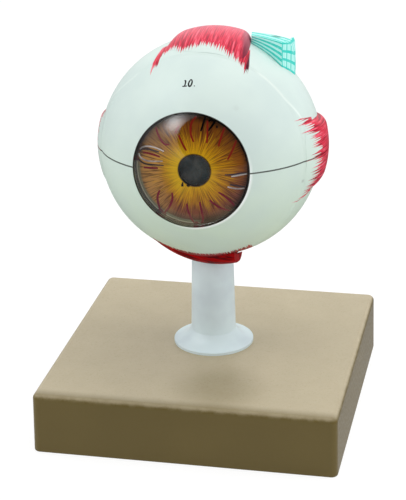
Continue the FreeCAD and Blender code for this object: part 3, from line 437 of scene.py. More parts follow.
def build_dust_and_sheen(name):
    """Dust that has settled on faces that look up, together with the pale sheen painted on them."""
    inputs = {"Place": "Vector", "Normal": "Vector", "Amount": "Float"}
    tree, given, put = new_effect(name, inputs, ["Mask"])
    upward = span(dot(given["Normal"], (0, 0, 1)), 0.3, 0.95)
    cloud = span(noise(given["Place"], 38, 4, 0.6), 0.2, 0.8, 0.9, 1)
    speck = span(noise(given["Place"], 900, 1), 0.62, 0.72, 1, 0.86)
    feed(put, {"Mask": times(times(upward, cloud), times(speck, given["Amount"]))})
    return tree


def eye_axes(paint):
    placed = effect("eye axes", build_eye_axes, {"Place": paint.place})
    return Axes(*(placed[label] for label in AXES))


def moulding(paint, scale):
    return effect("moulded surface", build_moulding, {"Place": paint.place, "Scale": scale})


# Finishes


def plain_plastic(name, main, second, scale, roughness=0.4, gloss=0.5):
    """Moulded plastic or paint with faint blotches and grain."""
    paint = Paint(name, main, gloss)
    surface = moulding(paint, scale)
    paint.coat(surface["Blotch"], second)
    paint.finish(surface["Grain"], roughness, 0.08)
    return paint


def clear_plastic(name, tint, roughness, ior, polish, clearness=1, cloud=None):
    """Clear cast resin that lets lamps through, with faint swirls in its polish and a cloud inside it."""
    paint = Paint(name, WHITE, polish, **{"Transmission Weight": clearness, "IOR": ior})
    surface = moulding(paint, 40)
    paint.coat(times(surface["Blotch"], 0.35), tint)
    if cloud:
        paint.coat(span(noise(paint.place, 95, 3), 0.3, 0.7), cloud)
    # The mesh has a skewed normal at its pole, so the flat one stands in there.
    shape = add(paint.tree, "ShaderNodeNewGeometry")
    pole = span(eye_axes(paint).spread, 2.4, 2.1)
    normals = {0: pole, 4: shape["Normal"], 5: shape["True Normal"]}
    feed(paint.shader.node.inputs, {
        "Base Color": paint.tone,
        "Roughness": span(surface["Grain"], 0.3, 0.7, 0, roughness),
        "Normal": join("ShaderNodeMix", normals, data_type="VECTOR")[1],
    })
    shadow = add(paint.tree, "ShaderNodeLightPath")["Is Shadow Ray"]
    through = add(paint.tree, "ShaderNodeBsdfTransparent", {"Color": tint})[0]
    feed(paint.output, {"Surface": shade(shadow, paint.shader, through)})
    return paint


# Each muscle's painted edge: which coordinate runs across it, which looks out, that side's sign, and the
# effect's numbers in the order of their labels
FRINGE_LABELS = ("Half width", "Shift", "Edge", "Bow", "Lean", "Spike", "Pitch", "Seed")
FRINGES = {
    "superior": ("across", "height", 1, 31.3, 0.8, -24.8, -0.0128, 0, 6.5, 1.9, 3),
    "medial": ("height", "across", 1, 27.5, 0, -24.6, -0.0125, 0, 15, 2.6, 11),
    "lateral": ("height", "across", -1, 27, 0, -21, -0.004, 0, 8, 3.2, 23),
    "inferior": ("across", "height", -1, 33, 0, -33.8, 0, 0.02, 5.5, 1.7, 31),
}
FIBRE_PITCH = 1.1
# Handling marks on the white paint: place, radius and strength
SMUDGES = (((66.2, -28, -13.1), 2, 0.5), ((27.5, -54.5, 40), 3, 0.1))


def fringe(axes, which):
    across, side, sign, *numbers = FRINGES[which]
    along = axes.depth
    if which == "superior":
        # Its temporal end starts further back, all but a thin strand.
        notch = area((axes.across, -28.5, -26.5), (axes.across, -15, -20))
        along = plus(notch, -8, along)
    values = {"Across": getattr(axes, across), "Along": along, **dict(zip(FRINGE_LABELS, numbers))}
    mask = effect("muscle fringe", build_fringe, values)["Mask"]
    return times(mask, span(times(getattr(axes, side), sign), 20, 24))


def nasal_border(axes, tone, look):
    """Dark line down the nasal side of the upper muscle: painted shade of its side wall."""
    return mix(span(off(axes.across, 29.7), 1.4, 0.7, 0, 0.95), tone, look.side_shade)


def fibres(axes, across, along, tones):
    """Muscle paint with fine streaks from dark to pale, and its finest grain."""
    dark, main, light = tones
    lift = next(n for n in ("across", "depth", "height") if n not in (across, along))
    ways = (getattr(axes, name) for name in (across, along, lift))
    values = dict(zip(("Across", "Along", "Lift", "Pitch"), (*ways, FIBRE_PITCH)))
    streaks = effect("muscle fibres", build_fibres, values)
    tone = mix(span(streaks["Streak"], 0.15, 0.55), dark, main)
    tone = mix(span(streaks["Streak"], 0.6, 0.98, 0, 0.75), tone, light)
    return tone, streaks["Fine"]


def lay_white(paint, axes, look):
    """Lays the white paint, greener and a little darker towards the underside, partly its tint and partly
    painted bounce light from the tan base, and gives its grain.
    """
    surface = moulding(paint, 26)
    paint.tone = mix(span(axes.height, -62, 40), look.white_low, look.white_high)
    paint.coat(times(surface["Blotch"], 0.3), look.blotch)
    return surface["Grain"]


def parting(axes, amount):
    """Where the upper and lower halves meet."""
    return times(span(calc("ABSOLUTE", axes.height), SEAM + 0.3, SEAM + 0.1), amount)


def crease_highlight(axes):
    """The painted highlight along the front step of the upper shell, faint at the temporal end and none at
    the top.
    """
    drop = area((axes.height, 50, 28, 0, 6), (axes.across, 0, -40))
    step = total(drop, span(axes.height, 42, 26, CREASE, CREASE + 4))
    line = span(off(axes.polar, step), 1.3, 0.2, 0, 0.65)
    nasal, temporal = span(axes.across, 32, 39), span(axes.across, -36, -46, 0, 0.5)
    return times(line, span(axes.height, 18, 32), highest(nasal, temporal))


def ledge_glint_and_blots(axes, tone, look):
    """A painted glint round the iris's lower temporal edge: a grey-green band with a light line where the lit
    ledge shows through the cornea's rim, and the paint blots on it.
    """
    corner = ratio(total(axes.across, axes.height), axes.spread)
    sector = span(corner, -0.7, -1.05)
    band = times(sector, span(axes.spread, 32.8, 33.9, 0, 0.75))
    line = times(sector, span(off(axes.spread, 35.5), 1, 0.4, 0, 0.85))
    tone = mix(line, mix(band, tone, look.moulding), look.glint)
    here = combine(axes.across, 0, axes.height)
    for x, z, size in BLOTS:
        away = vector("DISTANCE", here, (x, 0, z))
        tone = mix(span(away, size, size * 0.6, 0, 0.9), tone, look.blot)
    return tone


def white_shell(look, muscles, iris):
    """White paint with its crease, smudges and fringes, the inner wall, the cornea's seat and the seam."""
    paint = Paint("white_shell")
    axes = eye_axes(paint)
    grain = lay_white(paint, axes, look)
    paint.coat(crease_highlight(axes), look.crease)
    here = combine(axes.across, axes.depth, axes.height)
    for place, size, amount in SMUDGES:
        away = vector("DISTANCE", here, place)
        cloud = plus(noise(paint.place, 900), 1.6, away)
        paint.coat(span(cloud, size + 0.8, size * 0.4, 0, amount), look.smudge)

    bright = (muscles.wine, muscles.crimson, muscles.pink)
    deep = (muscles.blood, muscles.deep_red, muscles.deep_red)
    lengthwise, crosswise, below = (
        fibres(axes, across, "depth", tones)[0]
        for across, tones in (("across", bright), ("height", bright), ("across", deep))
    )
    front = span(axes.depth, -8, -11)
    for which, tone in (
        ("superior", nasal_border(axes, lengthwise, muscles)),
        ("medial", crosswise), ("lateral", crosswise), ("inferior", below),
    ):
        mask = times(fringe(axes, which), front)
        paint.coat(times(mask, 0.28) if which == "lateral" else mask, tone)

    paint.coat(span(axes.reach, GLOBE_MM - 2.4, GLOBE_MM - 2.8), look.inside)
    ahead = span(axes.depth, -50, -52)
    # The dark seat takes the painted glint of the lit ledge and its blots
    ledge = ledge_glint_and_blots(axes, look.ledge, iris)
    paint.coat(times(ahead, span(axes.spread, RIM + 0.12, RIM + 0.04)), ledge)
    corner = ratio(minus(axes.across, axes.height), axes.spread)
    line = span(axes.spread, RIM + 0.4, RIM + 0.15, 0, 0.6)
    paint.coat(times(ahead, line, span(corner, 0.8, 0.2)), look.seam)
    # Painted highlight on the rounded edge beside the cornea, on its lower nasal side
    lit = area((axes.spread, RIM + 2.2, RIM + 0.7), (axes.spread, RIM + 0.08, RIM + 0.16))
    paint.coat(times(ahead, lit, span(corner, 0.5, 1.2, 0, 0.9)), look.edge_highlight)
    paint.coat(parting(axes, 0.85), look.seam)
    paint.finish(grain, 0.42, 0.05)
    return paint


def muscle(name, which, look, white, tones):
    """Streaked red paint behind the fringe and white paint in front of it."""
    paint = Paint(name, gloss=0.3)
    axes = eye_axes(paint)
    lay_white(paint, axes, white)
    across = FRINGES[which][0]
    tone, fine = fibres(axes, across, "depth", tones)
    mask = fringe(axes, which)
    if which == "superior":
        # Painted shade on the wall that faces nasal
        wall = times(span(paint.facing(NASAL), 0.35, 0.62), 0.85)
        tone = mix(wall, tone, look.side_shade)
        tone = mix(span(axes.depth, -22, 16, 0.08, 0.5), tone, look.pink)
        tone = nasal_border(axes, tone, look)
    if which == "lateral":
        mask = times(mask, span(axes.depth, -24, 2, 0.3, 1))
    paint.coat(mask, tone)
    if across == "height":
        paint.coat(parting(axes, 0.7), look.wine)
    paint.finish(fine, 0.36, 0.16, 0.0004)
    return paint


# Painted lines

RAY_START, RAY_LENGTH = 0.03, 0.06


def paint_lines(name, lines, width, carrier, body, paint, on_shell=False, thin=0.2):
    """Tapered strokes of paint laid on a CAD surface. A line is a list of points in the eye's axes."""
    deselect()
    data = bpy.data.curves.new(name, "CURVE")
    data.dimensions = "3D"
    data.bevel_depth = width
    data.bevel_resolution = 2
    data.resolution_u = 10
    data.use_fill_caps = True
    for points in lines:
        spline = data.splines.new("NURBS")
        spline.points.add(len(points) - 1)
        spline.order_u = min(4, len(points))
        spline.use_endpoint_u = True
        for step, (point, target) in enumerate(zip(spline.points, points)):
            point.co = (*in_eye(*target), 1)
            point.radius = 0.55 + 0.6 * math.sin(math.pi * (0.15 + 0.75 * step / max(1, len(points) - 1)))
    thing = bpy.data.objects.new(name, data)
    bpy.context.collection.objects.link(thing)
    bpy.context.view_layer.objects.active = thing
    thing.select_set(True)
    bpy.ops.object.convert(target="MESH")
    thing = bpy.context.view_layer.objects.active
    surface = BVHTree.FromObject(NODES[carrier], bpy.context.evaluated_depsgraph_get())
    for vertex in thing.data.vertices:
        if on_shell:
            out = (vertex.co - CENTRE).normalized()
            over = (vertex.co - CENTRE).length - PRINT_RADIUS * MM
        else:
            out = -BACK
            over = (vertex.co - in_eye(0, IRIS_PLANE, 0)).dot(out)
        hit = surface.ray_cast(vertex.co + out * RAY_START, -out, RAY_LENGTH)[0]
        if hit is None:
            hit = vertex.co - out * over
        vertex.co = hit + out * over * thin
    shape = bmesh.new()
    shape.from_mesh(thing.data)
    bmesh.ops.remove_doubles(shape, verts=shape.verts, dist=1e-7)
    bmesh.ops.recalc_face_normals(shape, faces=shape.faces)
    shape.to_mesh(thing.data)
    shape.free()
    bpy.ops.object.shade_smooth()
    thing.select_set(False)
    thing.data.materials.append(paint.material)
    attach(thing, body)


def deselect():
    for thing in bpy.context.selected_objects:
        thing.select_set(False)


def on_iris(points):
    """Points of a line painted on the iris, kept inside its edge."""
    kept = []
    for x, z in points:
        reach = math.hypot(x, z)
        scale = min(1, IRIS_EDGE / reach) if reach else 1
        kept.append((x * scale, IRIS_PLANE, z * scale))
    return kept


def lines_on_iris(name, lines, width, half, paint, thin=0.2):
    """Strokes of paint on the upper or lower half of the iris."""
    lines = [on_iris(points) for points in lines]
    paint_lines(name, lines, width, f"iris_{half}", f"{half}_choroid", paint, thin=thin)


UPPER_VESSELS = [
    [(3, 33.9), (-0.1, 31.1), (-1.2, 26.9), (-0.8, 21.6), (1.1, 17.7)],
    [(9.8, 31.6), (10, 25.3), (9.8, 21.1), (9.5, 17.3)],
    [(20.7, 27.9), (19.2, 23.7), (17.6, 19.3), (16.9, 15.6)],
    [(28, 19.9), (26.5, 15.5), (25, 11.7), (22.6, 7.3)],
    [(-8.4, 21.7), (-7.1, 18.1), (-5.6, 14.9), (-3.5, 11.8)],
    [(-22.8, 25.7), (-21.9, 21.5), (-19.8, 17.4), (-17.2, 14.3), (-14.6, 15.3)],
    [(-8.1, 27.6), (-9.7, 25.4), (-10.5, 22.7)],
    [(-31.2, 9.2), (-27.3, 8.8), (-24.3, 8), (-20.6, 6.8)],
]
LOWER_VESSELS = [
    [(-20.9, -15), (-22.5, -17.9), (-22.7, -21.9), (-21.5, -25), (-21, -28)],
    [(-13.1, -16.2), (-12.5, -19.7), (-13.7, -23.8), (-16.1, -27.5), (-18, -29.5)],
    [(4.8, -21.3), (5.6, -26.1), (6.9, -30.3), (6.9, -33.5), (6.3, -35)],
    [(-3.5, -22.9), (-3.2, -27.2), (-1.6, -31.9), (1, -34.9)],
    [(11.2, -19.5), (14.9, -23.3), (19.7, -25.7), (24.9, -26.6)],
    [(16.7, -14.2), (19.8, -15.7), (23.6, -18.6), (26.3, -21.3), (27.6, -23.2)],
    [(-31, -0.7), (-26.3, -0.8), (-22, -0.6)],
]
UPPER_NERVES = [
    [(-35.5, 11.8), (-32.9, 13), (-27.2, 13.8), (-22.6, 12.6), (-18, 10.5)],
    [(-36.3, 9.1), (-34, 6.1), (-29.7, 3.1), (-24.7, 3.6), (-18.9, 4.1)],
]
LOWER_NERVES = [
    [(25, -3.4), (28.4, -2.7), (31.1, -1.8), (33.8, -1.3), (36.5, -1.1)],
    [(22.6, -10.3), (26, -11.1), (29.4, -11.6), (34.8, -11)],
]
UPPER_SHADES = [
    [(-35.9, 10.7), (-32.6, 11.2), (-29.6, 11.8), (-24.2, 10.9), (-21.1, 9.9)],
    [(-35, 5), (-32.4, 2.5), (-29.8, 1.3), (-24.8, 1.4), (-18.2, 1.4)],
]
LOWER_SHADES = [
    [(20.9, -2.6), (26.4, -2.3), (29.4, -1.2), (32.5, -0.7), (36.9, -0.7)],
    [(24, -8.8), (28.4, -9.2), (31.8, -9.7), (35.2, -9.8)],
]
SEVENTEEN = [
    [(8.5, 33.9), (7.2, 29.4), (5.7, 24.8)],
    [(10.6, 31.7), (12.9, 32.3), (14.8, 31.6)],
    [(14.8, 31.6), (12.9, 28.6), (10.3, 25.1)],
]
INK_MARKS = [[(-6.2, -8.9), (-6, -10), (-6.2, -11.4)]]
INK_BLOTS = [[(-7, -11), (-5.6, -10.9)], [(-3.4, -10.5), (-1.6, -11.2)]]
IRIS_DOT = [[(15.3, 28), (16.4, 28)]]
# Places at the edge of the iris where a vessel ends, and how far the paint spreads there.
BLOTS = ((-20.8, -29.2, 2.6), (-18.6, -30.6, 2.2), (2.4, -35.9, 2.3), (6.4, -35.6, 2.1), (-35.7, 5, 2.2))
TEN = [
    [(-6.8, -47.9, 54), (-5.7, -47, 54.9), (-5.9, -49.1, 53), (-6.2, -50.9, 51.3)],
    [(-7.6, -50.8, 51.2), (-6.1, -50.8, 51.4), (-4.6, -50.7, 51.6)],
    [
        (-2.9, -47.1, 55), (-4.2, -48.9, 53.4), (-3.7, -50.9, 51.5), (-2.5, -51.2, 51.3), (-1.6, -49.4, 53),
        (-1.8, -47.5, 54.8), (-2.9, -47.1, 55),
    ],
    [(-0.2, -50.7, 51.8), (0.4, -50.7, 51.8)],
]


# Operators


class PaintBase(bpy.types.Operator):
    """Finish the base: tan plastic with pale dust and a painted sheen on top, fainter at the front edge, and
    a painted reflection of the post before it
    """

    bl_idname = "eye_model.base"
    bl_label = "Base"

    # Metres: the middle of the post's painted reflection before it, where less pale sheen is laid, and how
    # far it reaches
    POST_REFLECTION_SPOT = (0.017, -0.068)
    POST_REFLECTION_REACH = (0.008, 0.04)

    def execute(self, context):
        look = context.scene.eye_stand
        low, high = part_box("base_tray")
        paint = Paint("tan_base", look.tan)
        surface = moulding(paint, 16)
        paint.coat(times(surface["Blotch"], 0.35), from_screen(110, 93, 39))

        # Paler top edges: rubbed wear and a painted highlight along them
        sides = split(vector("ABSOLUTE", paint.place))
        rim = span(highest(sides[0], sides[1]), high.x - 0.0042, high.x - 0.002)
        edge = times(rim, span(sides[2], high.z - 0.004, high.z - 0.0012))
        rubbed_and_lit = span(noise(paint.place, 120, 4, 0.7), 0.35, 0.65, 0, 0.12)
        paint.coat(times(edge, rubbed_and_lit), look.dust_and_sheen)

        # Pale dust and a painted sheen on faces that look up, fainter towards the front edge, and less before
        # the post where its painted reflection lies
        front = split(paint.place)[1]
        sheen_front_fade = span(front, low.y + 0.002, low.y + 0.012, 0.45, 1)
        from_spot = vector("SUBTRACT", paint.place, (*self.POST_REFLECTION_SPOT, high.z))
        post_reflection = span(vector("LENGTH", from_spot), *self.POST_REFLECTION_REACH, 0.66, 1)
        amount = times(times(sheen_front_fade, post_reflection), look.dust_and_sheen_amount)
        values = {"Place": paint.place, "Normal": paint.normal, "Amount": amount}
        paint.coat(effect("settled dust", build_dust_and_sheen, values)["Mask"], look.dust_and_sheen)
        scuff = noise(vector("MULTIPLY", paint.place, (1, 6, 1)), 60, 5, 0.7)
        paint.coat(span(scuff, 0.66, 0.74, 0, 0.2), look.tan)
        paint.finish(surface["Grain"], 0.42, 0.07)
        paint.dress("base_tray")
        return {"FINISHED"}


class PaintStand(bpy.types.Operator):
    """Finish the post, the brass insert, the bolt and its washer"""

    bl_idname = "eye_model.stand"
    bl_label = "Stand"

    def execute(self, context):
        look = context.scene.eye_stand
        plain_plastic("white_post", look.post, from_screen(206, 220, 227), 30, 0.38).dress("stand_post")
        for name, tone, nodes, rough in (
            ("brass_insert", look.brass, ["threaded_insert"], 0.3),
            ("zinc_steel", look.steel, ["stand_bolt", "stand_washer"], 0.34),
        ):
            paint = Paint(name, tone, Metallic=1)
            turned = noise(vector("MULTIPLY", paint.place, (1, 1, 14)), 260, 3)
            paint.coat(span(turned, 0.3, 0.7), tuple(0.72 * c for c in tone))
            paint.finish(turned, rough, 0.2)
            paint.dress(*nodes)
        return {"FINISHED"}


class PaintShells(bpy.types.Operator):
    """Finish the two white shells with their seam, crease, fringes and handling marks"""

    bl_idname = "eye_model.shells"
    bl_label = "White shells"

    def execute(self, context):
        scene = context.scene
        look = scene.eye_shells
        white_shell(look, scene.eye_muscles, scene.eye_iris).dress("sclera_upper", "sclera_lower")
        plain_plastic("pin_plastic", look.white_high, look.blotch, 60).dress("locating_pins")
        return {"FINISHED"}


class PaintCornea(bpy.types.Operator):
    """Finish the clear window"""

    bl_idname = "eye_model.cornea"
    bl_label = "Cornea"

    def execute(self, context):
        clear_plastic("cornea_resin", from_screen(250, 252, 250), 0.008, 1.42, 0.35).dress("cornea")
        return {"FINISHED"}


class PaintIris(bpy.types.Operator):
    """Finish the painted iris: gold by the pupil, dark at the rim, with fine streaks"""

    bl_idname = "eye_model.iris"
    bl_label = "Iris"

    # Tone, the coordinate it goes by, where it starts and is full, where on the way out it starts and is
    # full, and how strong it gets
    SHADES = (
        ("plum", "height", 4, -16, 0.3, 0.85, 0.7),
        ("temple", "across", -8, -24, 0.25, 0.6, 0.75),
        ("umber", "height", 6, 18, 0.15, 0.7, 0.55),
    )

    def execute(self, context):
        look = context.scene.eye_iris
        paint = Paint("iris_paint", gloss=0.2)
        axes = eye_axes(paint)
        x, z = (minus(way, middle) for way, middle in zip((axes.across, axes.height), PUPIL))
        out = vector("LENGTH", combine(x, z, 0))
        turn = vector("NORMALIZE", combine(x, z, 0))
        way = vector("ADD", turn, combine(0, 0, times(out, 0.0022)))
        broad = noise(way, 7, 3, 0.6)
        narrow = noise(way, 21, 2, 0.6)
        hair = noise(way, 46, 1, 0.5)

        # From gold to brown on the way out, in flames
        share = ratio(minus(out, PUPIL_EDGE), IRIS_EDGE - PUPIL_EDGE)
        flame = plus(minus(narrow, 0.5), 0.8, share)
        flame = plus(minus(broad, 0.5), 0.35, flame)
        paint.tone = mix(span(flame, 0, 0.32), look.gold, look.amber)
        paint.coat(span(flame, 0.3, 0.75), look.brown)
        for tone, along, start, full, inner, outer, most in self.SHADES:
            where = area((getattr(axes, along), start, full), (share, inner, outer, 0, most))
            paint.coat(where, getattr(look, tone))

        # Fine streaks: their noise, where it turns dark, and how strong they are on the way out
        for streak, edges, spread in (
            (hair, (0.52, 0.66), (-0.05, 0.4, 0.25, 0.7)), (narrow, (0.56, 0.68), (0, 0.5, 0.2, 0.6)),
        ):
            paint.coat(area((streak, *edges), (share, *spread)), look.dark_streak)
        bright = area((hair, 0.46, 0.34), (share, 0.95, 0.3, 0, 0.8))
        # Painted light: a brighter yellow by the pupil on the temporal side
        lit_side = area((axes.across, 2, -9), (share, 0.6, 0.1, 0, 0.5))
        paint.coat(highest(bright, lit_side), mix(lit_side, look.gold, look.lit_side_yellow))

        # Dark rim, closer in at both sides, then the painted glint of the ledge with its blots, the pupil and
        # the back
        edge_tone = mix(span(axes.height, -4, 14), look.rim, look.high_rim)
        aside = span(calc("ABSOLUTE", axes.across), 10, 26, 0, 2.2)
        inset = minus(axes.spread, aside)
        paint.coat(span(inset, 28.8, IRIS_EDGE, 0, 0.92), edge_tone)
        paint.tone = ledge_glint_and_blots(axes, paint.tone, look)
        paint.coat(span(out, PUPIL_EDGE + 0.9, PUPIL_EDGE + 0.2, 0, 0.7), look.dark_streak)
        paint.coat(span(out, PUPIL_EDGE + 0.14, PUPIL_EDGE + 0.06), look.ink)
        paint.coat(span(paint.facing(BACK), -0.4, 0.2), look.rear)
        paint.finish(narrow, 0.5, 0.2, 0.0003)
        paint.dress("iris_upper", "iris_lower")
        return {"FINISHED"}


class PaintLines(bpy.types.Operator):
    """Paint the vessels and nerve lines on the iris"""

    bl_idname = "eye_model.lines"
    bl_label = "Vessels and nerves"

    def execute(self, context):
        look = context.scene.eye_iris
        vessel = Paint("vessel_paint", gloss=0.2)
        axes = eye_axes(vessel)
        vessel.tone = mix(span(axes.height, -6, 10), look.low_vessel, look.vessel)
        vessel.coat(span(axes.across, -10, -18, 0, 0.7), look.low_vessel)
        vessel.finish(moulding(vessel, 160)["Grain"], 0.5, 0.08)
        nerve = plain_plastic("nerve_paint", look.nerve, from_screen(150, 138, 140), 160, 0.5)
        dark = plain_plastic("shade_paint", look.shade_line, from_screen(40, 26, 32), 160, 0.4)
        for name, lines, share, paint in (
            ("vessels", (UPPER_VESSELS, LOWER_VESSELS), 1, vessel),
            ("nerve_lines", (UPPER_NERVES, LOWER_NERVES), 0.72, nerve),
            ("shade_lines", (UPPER_SHADES, LOWER_SHADES), 0.75, dark),
        ):
            for half, group in zip(("upper", "lower"), lines):
                lines_on_iris(f"{name}_{half}", group, look.vessel_width * share, half, paint)
        return {"FINISHED"}


class WriteNumbers(bpy.types.Operator):
    """Write the hand-written part numbers and ink marks"""

    bl_idname = "eye_model.numbers"
    bl_label = "Numbers"

    def execute(self, context):
        look = context.scene.eye_iris
        ink = plain_plastic("black_ink", look.ink, from_screen(26, 20, 22), 220, 0.6, gloss=0.1)
        for name, lines, half, share in (
            ("iris_number", SEVENTEEN, "upper", 1.3), ("iris_dot", IRIS_DOT, "upper", 1.9),
            ("ink_marks", INK_MARKS, "lower", 1.1), ("ink_blots", INK_BLOTS, "lower", 1.9),
        ):
            lines_on_iris(name, lines, look.ink_width * share, half, ink, thin=0.25)
        paint_lines(
            "shell_number", TEN, look.ink_width * 0.85, "sclera_upper", "upper_shell", ink,
            on_shell=True, thin=0.25,
        )
        return {"FINISHED"}


class PaintMuscles(bpy.types.Operator):
    """Finish the muscles with streaked red paint and their white fringes"""

    bl_idname = "eye_model.muscles"
    bl_label = "Muscles"

    def execute(self, context):
        look, white = context.scene.eye_muscles, context.scene.eye_shells
        bright = (look.wine, look.crimson, look.pink)
        deep = (look.blood, look.deep_red, from_screen(178, 10, 10))
        for name, which, tones, nodes in (
            ("upper_muscle", "superior", bright, ["superior_rectus"]),
            ("nasal_muscle", "medial", bright, ["medial_rectus_upper", "medial_rectus_lower"]),
            ("temporal_muscle", "lateral", bright, ["lateral_rectus_upper", "lateral_rectus_lower"]),
            ("under_muscle", "inferior", deep, ["inferior_rectus"]),
        ):
            muscle(name, which, look, white, tones).dress(*nodes)
        for name, tones, node, across, along in (
            ("crossing_muscle", deep, "inferior_oblique", "depth", "across"),
            ("pulley_muscle", bright, "superior_oblique", "across", "depth"),
        ):
            paint = Paint(name, gloss=0.08)
            axes = eye_axes(paint)
            paint.tone, fine = fibres(axes, across, along, tones)
            if node == "inferior_oblique":
                joint = vector("DISTANCE", combine(axes.across, axes.depth, 0), (4, -18, 0))
                paint.coat(span(joint, 3.6, 1.2, 0, 0.85), look.blood)
            paint.finish(fine, 0.42, 0.2, 0.0004)
            paint.dress(node)
        return {"FINISHED"}


class PaintTendon(bpy.types.Operator):
    """Finish the striped tendon and the pulley"""

    bl_idname = "eye_model.tendon"
    bl_label = "Tendon and pulley"

    # Millimetres: the height of the tendon's top, from stripe to stripe on top and from rung to rung
    TOP = 75.5
    STRIPE = 6
    RUNG = 3.9
    # Millimetres in the eye's axes: the middle of a dark green spot on the top edge
    GREEN_SPOT_PLACE = (41.5, 10, 72.2)
    # How far the stripes on top lean, and the depth of one of them. The way in which the rungs follow.
    LEAN, FIRST = 0.42, 18.5
    RUNG_WAY = (0.62, 0.78)

    def execute(self, context):
        look = context.scene.eye_tendon
        self.stripe(look, "tendon_stripes", "superior_oblique_tendon", 5.2)
        self.stripe(look, "pulley_grid", "trochlea", 4, rungs=True)
        return {"FINISHED"}

    def stripe(self, look, name, node, count, rungs=False):
        """Stripes that follow the globe on the walls and lie straight on top, and rungs across them."""
        paint = Paint(name)
        across, depth, height, *_ = eye_axes(paint)
        flat = plus(across, across, times(depth, depth))
        ground = calc("SQRT", minus(GLOBE_MM ** 2, flat))
        rise, full = minus(height, ground), minus(self.TOP, ground)
        wave = plus(noise(paint.place, 90), 0.05, ratio(rise, full))
        wall_stripe = calc("PINGPONG", plus(wave, count, -0.18), 0.5)
        ahead = plus(across, self.LEAN, minus(depth, self.FIRST))
        top_stripe = calc("PINGPONG", ratio(ahead, self.STRIPE), 0.5)
        upward = span(paint.facing(LIFT), 0.72, 0.82)
        lines = choose(upward, wall_stripe, top_stripe)
        mask = span(lines, *((0.2, 0.12) if rungs else (0.3, 0.22)))
        if rungs:
            along = plus(across, self.RUNG_WAY[0], times(depth, self.RUNG_WAY[1]))
            for pitch, edges in ((self.RUNG, (0.15, 0.07)), (self.RUNG / 2, (0.12, 0.05, 0, 0.4))):
                mask = highest(mask, span(calc("PINGPONG", ratio(along, pitch), 0.5), *edges))
        worn = span(noise(paint.place, 420, 3), 0.3, 0.55, 0.75, 1)
        # Faces that look ahead are painted brighter, as light against their shade
        paint.tone = mix(upward, look.front_brightened_cyan, look.cyan)
        paint.coat(times(mask, worn), look.teal)
        # A dark green spot on the top edge
        from_green_spot = vector("SUBTRACT", paint.place, in_eye(*self.GREEN_SPOT_PLACE))
        green_spot_distance = vector("LENGTH", vector("MULTIPLY", from_green_spot, (0.5, 1, 1)))
        paint.coat(span(green_spot_distance, 0.0024, 0.001, 0, 0.8), look.green_spot)
        paint.finish(moulding(paint, 60)["Grain"], 0.4, 0.06)
        paint.dress(node)


class PaintInnerShells(bpy.types.Operator):
    """Finish the choroid, retina and ciliary body"""

    bl_idname = "eye_model.inner_shells"
    bl_label = "Inner shells"

    def execute(self, context):
        look, iris = context.scene.eye_inner, context.scene.eye_iris
        paint = Paint("choroid_layer")
        axes = eye_axes(paint)
        cells = {"Vector": paint.place, "Scale": 70}
        net = join("ShaderNodeTexVoronoi", cells, feature="DISTANCE_TO_EDGE")["Distance"]
        grain = noise(paint.place, 500, 3)
        paint.tone = mix(span(plus(grain, 0.12, net), 0.16, 0.08), look.choroid, look.choroid_vein)
        # The choroid's front edge takes the iris rim with the painted glint and blots
        paint.coat(span(axes.depth, -55.5, -57), ledge_glint_and_blots(axes, iris.rim, iris))
        paint.finish(grain, 0.45, 0.15)
        paint.dress("choroid_upper", "choroid_lower")

        paint = Paint("retina_layer")
        surface = moulding(paint, 60)
        front = span(eye_axes(paint).depth, 40, -50)
        paint.tone = mix(front, look.retina, look.retina_edge)
        paint.coat(times(surface["Blotch"], 0.3), look.retina_edge)
        paint.finish(surface["Grain"], 0.42, 0.12)
        paint.dress("retina_upper", "retina_lower")

        paint = Paint("ciliary_folds")
        axes = eye_axes(paint)
        turn = vector("NORMALIZE", combine(axes.across, axes.height, 0))
        folds = noise(turn, 26, 2)
        paint.tone = mix(span(folds, 0.4, 0.62), look.ciliary, look.ciliary_fold)
        paint.finish(folds, 0.5, 0.25, 0.0004)
        paint.dress("ciliary_body_upper", "ciliary_body_lower")
        return {"FINISHED"}


class PaintClearCore(bpy.types.Operator):
    """Finish the clear lens and the clear ball behind it"""

    bl_idname = "eye_model.clear_core"
    bl_label = "Lens and vitreous"

    def execute(self, context):
        look = context.scene.eye_inner
        lens = clear_plastic("lens_resin", look.lens, 0.02, 1.2, 0.2, 0.94, look.lens_cloud)
        lens.dress("crystalline_lens")
        clear_plastic("gel_resin", look.gel, 0.02, 1.2, 0.2).dress("vitreous_body")
        return {"FINISHED"}


class PaintNerve(bpy.types.Operator):
    """Finish the optic nerve and its two vessels"""

    bl_idname = "eye_model.nerve"
    bl_label = "Optic nerve"

    def execute(self, context):
        look = context.scene.eye_inner
        for name, tone, second, scale, node in (
            ("nerve_sheath", look.sheath, (206, 198, 178), 70, "optic_nerve_sheath"),
            ("artery_paint", look.artery, (140, 8, 18), 200, "central_retinal_artery"),
            ("vein_paint", look.vein, (26, 44, 110), 200, "central_retinal_vein"),
        ):
            plain_plastic(name, tone, from_screen(*second), scale).dress(node)
        paint = Paint("nerve_bundles")
        cells = join("ShaderNodeTexVoronoi", {"Vector": paint.place, "Scale": 620})["Distance"]
        paint.tone = mix(span(cells, 0.25, 0.6), look.nerve, from_screen(178, 128, 52))
        paint.finish(cells, 0.5, 0.2)
        paint.dress("optic_nerve_core")
        return {"FINISHED"}


